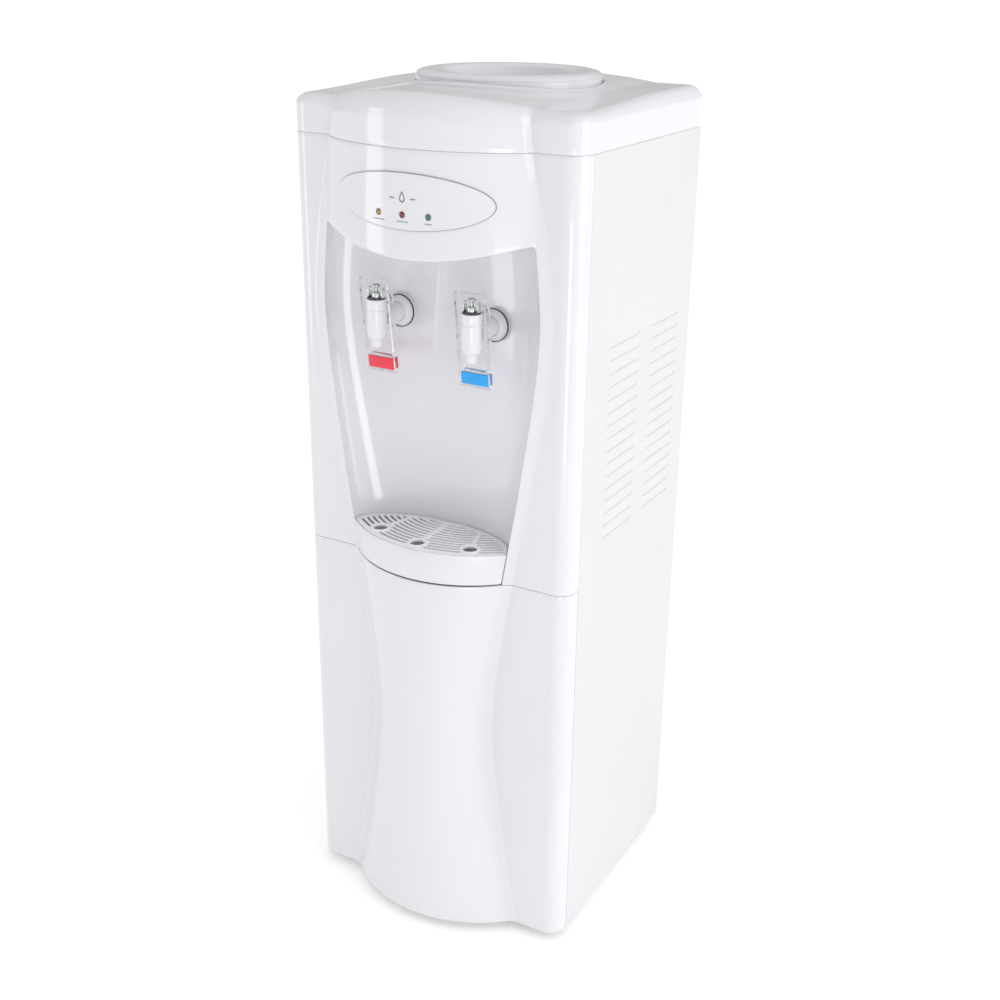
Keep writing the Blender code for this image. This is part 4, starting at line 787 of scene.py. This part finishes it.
def indicator_panel():
    front = BADGE_GAP + BADGE_THICK
    print_lift = front + 0.00008
    lamps = [(n * LAMP_PITCH, LAMP_Z) for n in (-1, 0, 1)]
    holes = [ellipse(LAMP_R + 0.0002, LAMP_R + 0.0002, z, 24, x) for x, z in lamps]
    a, b = BADGE_HALF
    on_head("visual_badge", [ellipse(a - 0.0007, b - 0.0007, BADGE_Z), *holes], front, 0.0013, "badge",
            "badge_plate", 12)
    # painted shade: a grey ring under the badge's rim stands in for the shadow in the gap round the inlaid
    # badge
    on_head("visual_badge_gap_shade", [ellipse(a, b, BADGE_Z), ellipse(a - 0.0008, b - 0.0008, BADGE_Z)],
            front - 0.0006, 0.0009, "line_grey", rows=6)
    drop = []
    for i in range(40):
        t = 2 * pi * i / 40
        drop.append((0.0042 * sin(t) * sin(t / 2) ** 1.4, BADGE_Z + 0.0098 - 0.0062 * (1 - cos(t)) * 0.86))
    inner = [(x * 0.62, BADGE_Z + 0.0032 + (z - BADGE_Z - 0.0032) * 0.62) for x, z in drop]
    on_head("badge_drop", [drop, inner], print_lift, PRINT, "print_grey", rows=4)
    for k, start in enumerate((0.0085, -0.0135)):
        bar = rectangle(start, BADGE_Z + 0.0022, start + 0.0050, BADGE_Z + 0.0034, 0.0005, 3)
        on_head(f"badge_bar_{k}", [bar], print_lift, PRINT, "print_grey", rows=2)
    for k, ((x, z), width) in enumerate(zip(lamps, (0.0130, 0.0120, 0.0070))):
        bar = rectangle(x - width / 2, z - 0.0068, x + width / 2, z - 0.0057, 0.0004, 3)
        on_head(f"lamp_bar_{k}", [bar], print_lift, PRINT, "line_grey", rows=2)
    for (x, z), node, mat in zip(lamps, ("lamp_cooling", "lamp_heating", "lamp_power"),
                                 ("amber_lens", "red_lens", "green_lens")):
        depth = surface_depth(x, z) - front
        dome = [(0.0, 0.0008), (LAMP_R * 0.45, 0.00068), (LAMP_R * 0.8, 0.00030), (LAMP_R * 0.97, -0.0002),
                (LAMP_R * 0.97, -0.004), (0.0, -0.004)]
        lathe("visual_" + node, dome, mat, (x, at_depth(depth), z), "cabinet", node, 40, turn=FORWARD)
        ring = [(LAMP_R + 0.0001, 0.00035), (LAMP_R + 0.0006, 0.0003), (LAMP_R + 0.0006, -0.0006),
                (LAMP_R + 0.0001, -0.0006)]
        lathe("bezel_" + node, ring, "line_grey", (x, at_depth(depth), z), steps=40, closed=True,
              turn=FORWARD, radius=0.0002)


# ---- taps
TAP_Y = at_depth(TAP_DEPTH)
GROOVE_Z = 0.6712             # the middle of the ring cut round the barrel
SHANK_END = 0.048             # back from the tap's axis
PAD_THICK = 0.0078
EAR_X = 0.0076                # the bonnet's ears, out from the tap's axis


def taps():
    for prefix, x, insert in (("hot", -TAP_X, "red_plastic"), ("cold", TAP_X, "blue_plastic")):
        tap_body(prefix, x)
        wall_fittings(prefix, x)
        bonnet(prefix, x)
        stem = [(0.0, 0.6950), (0.0030, 0.6950), (0.0038, 0.6942), (0.0038, 0.6926), (0.0018, 0.6920),
                (0.0018, 0.6525), (0.0, 0.6525)]
        lathe(prefix + "_visual_stem", stem, "spring_steel", (x, TAP_Y, 0.0), prefix + "_valve",
              prefix + "_tap_stem", 40, radius=0.0003)
        lever_pieces(prefix, x, insert)


def tap_body(prefix, x):
    """The hollow barrel down to the spout, the shank that holds it to the wall, and a black cup inside the
    spout's mouth, painted shade for its dark inside.
    """
    groove = TAP_R - 0.0004
    barrel = [(CHAMBER_R, TAP_TOP_Z), (TAP_R, TAP_TOP_Z), (TAP_R, GROOVE_Z + 0.0010),
              (groove, GROOVE_Z + 0.0006), (groove, GROOVE_Z - 0.0006), (TAP_R, GROOVE_Z - 0.0010),
              (TAP_R, 0.6500), (0.0087, 0.6442), (SPOUT_R + 0.0012, 0.6428), (SPOUT_R, 0.6412),
              (SPOUT_R - 0.0004, SPOUT_END_Z + 0.0006), (SPOUT_R - 0.0009, SPOUT_END_Z),
              (0.0042, SPOUT_END_Z), (0.0036, SPOUT_END_Z + 0.0010), (0.0036, SEAT_Z), (CHAMBER_R, SEAT_Z)]
    start = CHAMBER_R + 0.0010
    shank = [(0.0, start), (SHANK_R - 0.0004, start), (SHANK_R - 0.0004, 0.016), (SHANK_R, 0.0165),
             (SHANK_R, SHANK_END), (0.0, SHANK_END)]
    joined(prefix + "_visual_tap",
           [turned(rounded(barrel, 0.0006, 3, True), 72, (x, TAP_Y, 0.0), True),
            turned(shank, 72, (x, TAP_Y, SHANK_Z), turn=BACKWARD)],
           "white_plastic", stands_for=prefix + "_tap_body", smooth=45)
    # painted shade: a black cup just inside the hollow spout darkens its mouth where shade falls
    shade_cup = [(0.0035, SPOUT_END_Z + 0.0002), (0.0035, SPOUT_END_Z + 0.0076), (0.0, SPOUT_END_Z + 0.0076)]
    lathe(prefix + "_spout_shade_cup", shade_cup, "black_plastic", (x, TAP_Y, 0.0), steps=32)


def wall_fittings(prefix, x):
    """The domed flange, a thin dark ring round its rim as painted shade for the gap between flange and wall,
    and the pad behind them on the bay's wall.
    """
    flange = [(SHANK_R + 0.0002, 0.0066), (0.0112, 0.0058), (0.0130, 0.0042), (0.0142, 0.0022),
              (FLANGE_R - 0.0010, 0.0016), (FLANGE_R - 0.0004, 0.0010), (FLANGE_R - 0.0004, 0.0),
              (SHANK_R + 0.0002, 0.0)]
    # painted shade: a dark ring just outside the flange stands in for the shadowed gap between flange and
    # wall
    gasket = [(FLANGE_R - 0.0003, 0.0018), (FLANGE_R + 0.0001, 0.0017), (FLANGE_R + 0.0003, 0.0012),
              (FLANGE_R + 0.0003, 0.0), (FLANGE_R - 0.0003, 0.0)]
    pad = [(SHANK_R + 0.0004, 0.0), (FLANGE_R - 0.0004, 0.0), (FLANGE_R, -0.0004),
           (FLANGE_R, -PAD_THICK), (SHANK_R + 0.0004, -PAD_THICK)]
    for name, profile, mat, depth, stands_for, radius in (
            ("_visual_flange", flange, "white_plastic", PAD_DEPTH - 0.0003, prefix + "_tap_flange", 0.0006),
            # the ring's black rubber colour is painted shade for the flange's gap
            ("_gasket", gasket, "rubber", PAD_DEPTH - 0.0003, (), 0.0003),
            ("_wall_pad", pad, "white_plastic", PAD_DEPTH, (), 0.0004)):
        lathe(prefix + name, profile, mat, (x, at_depth(depth), SHANK_Z), "cabinet", stands_for, 96, True,
              FORWARD, radius)


def bonnet(prefix, x):
    """Dark plated ring round the stem, with two bright ears that carry the lever's trunnions."""
    low = TAP_TOP_Z + 0.0003
    ring = [(0.0026, low + 0.0006), (0.0066, low + 0.0005), (0.0078, low + 0.0009),
            (TAP_R - 0.0012, low + 0.0008), (TAP_R - 0.0009, low + 0.0004), (TAP_R - 0.0009, low - 0.0001),
            (0.0026, low - 0.0001)]
    vertices, faces = turned(rounded(ring, 0.0004, 3, True), 72, (x, TAP_Y, 0.0), True)
    piece(prefix + "_visual_bonnet", vertices, faces, "dark_metal",
          stands_for=prefix + "_tap_bonnet", smooth=40)
    y0, y1, shoulder, top = TAP_Y - 0.0026, TAP_Y + 0.0026, PIVOT_Z + 0.0006, PIVOT_Z + 0.0026
    ear = [(y0, low + 0.0010), (y1, low + 0.0010), (y1, shoulder), (TAP_Y + 0.0012, top),
           (TAP_Y - 0.0012, top), (y0, shoulder)]
    outlines = [rounded(ear, 0.0010, 4, True), ellipse(0.0016, 0.0016, PIVOT_Z, 20, TAP_Y)]
    parts = [plate(outlines, 0.0015, 0.0002, across_at(x + side * EAR_X)) for side in (-1, 1)]
    collar = [(0.0022, low + 0.0004), (0.0044, low + 0.0004), (0.0040, low + 0.0052), (0.0034, low + 0.0060),
              (0.0022, low + 0.0060)]
    parts.append(turned(rounded(collar, 0.0004, 3, True), 48, (x, TAP_Y, 0.0), True))
    joined(prefix + "_bonnet_ears", parts, "bright_metal")


def lever_pieces(prefix, x, insert_mat):
    """The clear stirrup with its trunnions, and the coloured block in its lower end."""
    body = prefix + "_lever"
    top, bottom, width = LEVER_TOP_Z - PIVOT_Z, LEVER_BOTTOM_Z - PIVOT_Z, LEVER_HALF_WIDTH
    half_x, half_z = INSERT_HALF
    centre = bottom + half_z + 0.0030
    outlines = [rectangle(-width, bottom, width, top, 0.0040, 8),
                rectangle(-width + 0.0030, centre + half_z + 0.0030, width - 0.0030, top - 0.0028, 0.0028),
                rectangle(-half_x, centre - half_z, half_x, centre + half_z, 0.0010, 3)]
    leaning = Matrix.Translation((x, TAP_Y, PIVOT_Z)) @ Matrix.Rotation(pi / 2 + LEVER_LEAN, 4, "X")
    parts = [plate(outlines, LEVER_THICK, 0.0009, leaning, 3)]
    length = width - 0.0090
    pin = [(0.0, 0.0), (PIVOT_R - 0.0003, 0.0), (PIVOT_R, 0.0003), (PIVOT_R, length), (0.0, length)]
    for side in (-1, 1):
        parts.append(turned(pin, 24, (x + side * 0.0062, TAP_Y, PIVOT_Z),
                            turn=Matrix.Rotation(side * pi / 2, 4, "Y")))
    joined(prefix + "_visual_lever", parts, "clear_plastic", body, prefix + "_tap_lever")
    slack = 0.0002
    block = rectangle(-half_x + slack, centre - half_z + slack, half_x - slack, centre + half_z - slack,
                      0.0010, 3)
    joined(prefix + "_visual_insert", [plate([block], LEVER_THICK + 0.0006, 0.0005, leaning)], insert_mat,
           body, prefix + "_lever_insert")


# ---- drip tray
def tray_ring(z, inset, lift=0.0, steps=48):
    """The tray's outline, shifted inward. The lift lowers only the front edge, where it covers the gap."""
    half, edge = inner_edge(z)
    reach = half - TRAY_GAP - inset
    points = []
    for i in range(-steps, steps + 1):
        x = reach * i / steps
        points.append((x, at_depth(arc_depth(x, half, edge) + inset), z - lift))
    back = BAY_DEPTH - TRAY_GAP - inset
    start = edge + inset
    for i in range(1, 2 * steps):
        angle = i / (2 * steps) * pi
        points.append((reach * cos(angle), at_depth(start + (back - start) * sin(angle)), z))
    return points


def drip_tray():
    levels = [(0.0012, TRAY_BOTTOM - 0.0001, 0.0014), (0.0002, TRAY_BOTTOM + 0.0003, 0.0014),
              (0.0, TRAY_BOTTOM + 0.0012, 0.0012)]
    levels += [(0.0, z, 0.0) for z in (0.425, 0.435, TRAY_TOP - 0.0012)]
    levels += [(0.0003, TRAY_TOP - 0.0004, 0.0), (0.0010, TRAY_TOP, 0.0), (0.0016, TRAY_TOP, 0.0),
               (0.0021, TRAY_TOP - 0.0004, 0.0), (TRAY_WALL, TRAY_TOP - 0.0012, 0.0)]
    levels += [(TRAY_WALL, 0.436, 0.0), (TRAY_WALL, 0.4190, 0.0), (TRAY_WALL + 0.0012, 0.4175, 0.0),
               (TRAY_WALL + 0.004, 0.4172, 0.0)]
    rings = [tray_ring(z, inset, lift) for inset, z, lift in levels]
    vertices, faces = skin(rings, True)
    count = len(rings[0])
    faces.append(tuple(reversed(range(count))))
    faces.append(tuple(range((len(rings) - 1) * count, len(rings) * count)))
    piece("visual_drip_tray", vertices, faces, "tray_plastic", "drip_tray", "drip_tray", 45)


ARC_CENTRE = 0.099            # the grille's slots are arcs about a point this far behind the fairing
ARC_R = 0.1355
ARC_PITCH = 0.00584
ARC_COUNT = 12
SLOT = 0.0030
RIM_R = 0.0102
HOLE_R = 0.0070
DRAIN_HOLES = ((-TAP_X, -0.012), (0.0, -0.025), (TAP_X, -0.012))
RIB_HALF = 0.0024             # the rib down the middle, and half a side rib
SIDE_RIB_HALF = 0.0016
RIB_SLOPE = 0.295             # the side ribs lean in towards the back
GRILLE_BORDER = 0.0030
SWEEP_STEPS = 480             # how finely a slot's way is searched


def grille_open(x, depth, margin):
    """Whether a slot may pass here: inside the border, off the ribs and off the rims."""
    half, edge = inner_edge(TRAY_TOP)
    side = abs(x)
    if side < RIB_HALF + margin:
        return False
    rib = TAP_X - (depth + 0.012) * RIB_SLOPE
    if abs(side - rib) < SIDE_RIB_HALF + margin:
        return False
    for hx, hd in DRAIN_HOLES[1:]:
        if (side - hx) ** 2 + (depth - hd) ** 2 < (RIM_R + 0.0004 + margin) ** 2:
            return False
    wall = TRAY_WALL + GRILLE_BORDER + margin
    reach = half - TRAY_GAP - wall
    if side > reach or depth < arc_depth(side, half, edge) + wall * 1.2:
        return False
    return depth < edge + (BAY_DEPTH - wall - edge) * sqrt(max(1 - (side / reach) ** 2, 0.0))


def on_arc(angle, radius):
    return radius * sin(angle), ARC_CENTRE - radius * cos(angle)


def slot_outlines():
    outlines = []
    for k in range(ARC_COUNT):
        radius = ARC_R - k * ARC_PITCH
        run = []
        for i in range(SWEEP_STEPS + 1):
            angle = i / SWEEP_STEPS * radians(60)
            if grille_open(*on_arc(angle, radius), SLOT / 2):
                run.append(angle)
            elif run:
                outlines += slot_outline(radius, run)
                run = []
    return outlines


def slot_outline(radius, run):
    """A slot along the arc from the run's first angle to its last, and its mirror image."""
    length = (run[-1] - run[0]) * radius
    if length < SLOT:
        return []
    h = SLOT / 2
    count = max(int(length / 0.0035), 1)
    angles = [run[0] + (run[-1] - run[0]) * i / count for i in range(count + 1)]
    points = [on_arc(angle, radius + h) for angle in angles] + end_cap(angles[-1], radius, h, 1)
    points += [on_arc(angle, radius - h) for angle in reversed(angles)] + end_cap(angles[0], radius, h, -1)
    right = [(x, at_depth(d)) for x, d in points]
    return [right, [(-x, y) for x, y in reversed(right)]]


def end_cap(angle, radius, h, way):
    """Half circle at one end of a slot."""
    centre = Vector(on_arc(angle, radius))
    radial = Vector((sin(angle), -cos(angle))) * way
    along = Vector((cos(angle), sin(angle))) * way
    turns = [k / 6 * pi for k in range(1, 6)]
    return [tuple(centre + radial * (h * cos(t)) + along * (h * sin(t))) for t in turns]


def drip_grille():
    top = TRAY_TOP
    thick = 0.0020
    plan = [(x, y) for x, y, _ in tray_ring(top - 0.0025, TRAY_WALL + 0.0005)]
    holes = [ellipse(RIM_R - 0.001, RIM_R - 0.001, at_depth(d), 40, x) for x, d in DRAIN_HOLES]
    parts = [plate([plan, *holes, *slot_outlines()], thick, 0.0003,
                   Matrix.Translation((0.0, 0.0, top - 0.0004 - thick / 2)), 1)]
    for x, d in DRAIN_HOLES:
        rim = [(RIM_R - 0.0012, top - 0.0024), (HOLE_R, top - 0.0024), (HOLE_R, top - 0.0002),
               (HOLE_R + 0.0012, top + 0.0008), (RIM_R - 0.0012, top + 0.0011), (RIM_R, top + 0.0003),
               (RIM_R, top - 0.0008), (RIM_R - 0.0012, top - 0.0012)]
        parts.append(turned(rounded(rim, 0.0005, 3, True), 64, (x, at_depth(d), 0.0), True))
    # the grille's lighter white is painted light against the shade of the bay
    joined("visual_drip_grille", parts, "grille_plastic", "drip_grille", "drip_grille", 40)


# ---- back and base
def feet():
    profile = [(0.0, 0.0095), (0.0125, 0.0095), (0.0150, 0.0018), (0.0140, 0.0), (0.0, 0.0)]
    for name in ("foot_front_left", "foot_front_right", "foot_rear_left", "foot_rear_right"):
        low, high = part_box(name)
        centre = ((low.x + high.x) / 2, (low.y + high.y) / 2, 0.0)
        lathe("visual_" + name, profile, "rubber", centre, "cabinet", name, 48, radius=0.0008)


PASSES = 10                   # the condenser's serpentine, and the wires across both of its faces
PASS_HALF = 0.118
PASS_LOW_Z = 0.372
PASS_PITCH = 0.044
WIRES = 39
WIRE_PITCH = 0.0060
WIRE_OUT = 0.0032
WIRE_END = 0.010


def condenser():
    y = at_depth(REAR_PANEL_DEPTH + 0.0095)
    bend = PASS_PITCH / 2
    points = []
    for row in range(PASSES):
        z = PASS_LOW_Z + row * PASS_PITCH
        side = 1 if row % 2 == 0 else -1
        points.append((-side * PASS_HALF, y, z))
        if row < PASSES - 1:
            points += [(side * (PASS_HALF + bend * cos(a)), y, z + bend + bend * sin(a))
                       for a in (-pi / 2 + i * pi / 10 for i in range(10))]
        else:
            points.append((side * PASS_HALF, y, z))
    parts = [rod(points, 0.0026, 4)]
    z_high = PASS_LOW_Z + (PASSES - 1) * PASS_PITCH + WIRE_END
    for n in range(WIRES):
        x = (n - (WIRES - 1) / 2) * WIRE_PITCH
        for offset in (-WIRE_OUT, WIRE_OUT):
            parts.append(rod([(x, y + offset, PASS_LOW_Z - WIRE_END), (x, y + offset, z_high)], 0.0006, 1))
    joined("visual_condenser", parts, "black_paint", stands_for="condenser", smooth=60)


def compressor():
    low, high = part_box("compressor")
    x, y = (low.x + high.x) / 2, (low.y + high.y) / 2
    shell = [(0.0, 0.158), (0.030, 0.155), (0.050, 0.143), (0.058, 0.125), (0.060, 0.088),
             (0.062, 0.086), (0.062, 0.082), (0.060, 0.080), (0.057, 0.050), (0.046, 0.034),
             (0.024, 0.026), (0.0, 0.025)]
    plan = rectangle(x - 0.075, y - 0.055, x + 0.075, y + 0.055, 0.012)
    parts = [turned(rounded(shell, 0.006, 4), 72, (x, y, 0.0)),
             plate([plan], 0.003, 0.0005, Matrix.Translation((0.0, 0.0, 0.0255)))]
    grommet = [(0.0, 0.0310), (0.0050, 0.0310), (0.0050, 0.0275), (0.0080, 0.0270), (0.0080, 0.0125),
               (0.0, 0.0125)]
    parts += [turned(rounded(grommet, 0.001, 3), 32, (x + side * 0.062, y + end * 0.044, 0.0))
              for side in (-1, 1) for end in (-1, 1)]
    joined("visual_compressor", parts, "black_paint", stands_for="compressor", smooth=40)


def rear_screws():
    y = at_depth(REAR_PANEL_DEPTH + SHEET)
    head = [(0.0, 0.0017), (0.0020, 0.0016), (0.0034, 0.0008), (0.0036, 0.0), (0.0, 0.0)]
    for k, (x, z) in enumerate((x, z) for x in (-0.142, 0.142) for z in (0.212, 0.42, 0.62, 0.812)):
        joined(f"rear_screw_{k}", [turned(head, 32, (x, y, z), turn=BACKWARD)], "spring_steel")


def drain_cap():
    """A screw cap with 24 grip ribs."""
    low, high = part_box("drain_cap")
    x, z = (low.x + high.x) / 2, (low.z + high.z) / 2
    body = [(0.0, 0.0105), (0.0096, 0.0105), (0.0108, 0.0094), (0.0108, 0.0), (0.0084, 0.0),
            (0.0084, 0.0080), (0.0, 0.0080)]
    parts = [turned(rounded(body, 0.0005, 3), 72, (x, low.y, z), turn=BACKWARD)]
    rib = [(0.0, 0.0092), (0.0003, 0.0092), (0.0003, 0.0006), (0.0, 0.0006)]
    for rib_x, rib_z in ellipse(0.0107, 0.0107, z, 24, x):
        parts.append(turned(rib, 8, (rib_x, low.y, rib_z), turn=BACKWARD))
    joined("visual_drain_cap", parts, "blue_plastic", "drain_cap", "drain_cap")


front_panels()
top_cover()
cover_gasket()
side_panels()
bottle_seat()
water_guard()
indicator_panel()
taps()
drip_tray()
drip_grille()
feet()
condenser()
compressor()
rear_screws()
drain_cap()


# ---- stage, light, camera
def stage_plane():
    mesh = bpy.data.meshes.new("floor")
    reach = 60.0
    mesh.from_pydata([(-reach, -reach, 0), (reach, -reach, 0), (reach, reach, 0), (-reach, reach, 0)], [],
                     [(0, 1, 2, 3)])
    mesh.materials.append(M["floor"])
    placed("floor", mesh)


def area_light(name, place, target, size, size_y, power):
    light = bpy.data.lights.new(name, "AREA")
    light.shape = "RECTANGLE"
    light.size, light.size_y = size, size_y
    light.energy = power
    obj = placed(name, light)
    obj.location = place
    obj.rotation_mode = "QUATERNION"
    obj.rotation_quaternion = (Vector(target) - Vector(place)).to_track_quat("-Z", "Y")


ROOM_LEVEL = 0.36
ROOM_SIDES = (((1, 0, 0), 0.60), ((-1, 0, 0), 0.22), ((0, -1, 0), 0.10), ((0, 0, 1), 0.44))


def studio():
    """A white room with a brighter side and ceiling, and three soft boxes."""
    bpy.context.scene.view_settings.view_transform = "Standard"
    world = bpy.data.worlds.new("studio")
    bpy.context.scene.world = world
    world.use_nodes = True
    tree = world.node_tree
    place = tree.nodes.new("ShaderNodeTexCoord").outputs["Generated"]

    def sum_node(kind, operation, *inputs):
        node = tree.nodes.new(kind)
        node.operation = operation
        return feed(tree, node, *inputs).outputs["Value"]

    strength = ROOM_LEVEL
    for direction, share in ROOM_SIDES:
        facing = sum_node("ShaderNodeVectorMath", "DOT_PRODUCT", place, direction)
        lit = sum_node("ShaderNodeMath", "MAXIMUM", facing, 0.0)
        strength = sum_node("ShaderNodeMath", "MULTIPLY_ADD", lit, share, strength)
    feed(tree, tree.nodes["Background"], Strength=strength, Color=(1.0, 1.0, 1.0, 1.0))
    area_light("key_right", (2.8, -0.1, 1.2), (0.0, 0.0, 0.5), 1.8, 2.4, 20.0)
    area_light("strip_left", (-1.80, -1.38, 0.68), (0.0, -0.12, 0.68), 0.52, 1.3, 4.4)
    area_light("low_right", (0.87, -1.46, 0.24), (0.0, -0.12, 0.42), 0.40, 0.48, 2.3)


def camera():
    azimuth, elevation, roll = radians(29.326), radians(22.170), radians(0.763)
    data = bpy.data.cameras.new("camera")
    data.lens = 48.82
    data.clip_end = 200.0
    data.sensor_width = 36.0
    obj = placed("camera", data)
    obj.matrix_world = (Matrix.Translation((0.66886, -1.16082, 0.99007))
                        @ Matrix.Rotation(azimuth, 4, "Z") @ Matrix.Rotation(pi / 2 - elevation, 4, "X")
                        @ Matrix.Rotation(roll, 4, "Z"))
    bpy.context.scene.camera = obj


stage_plane()
studio()
camera()
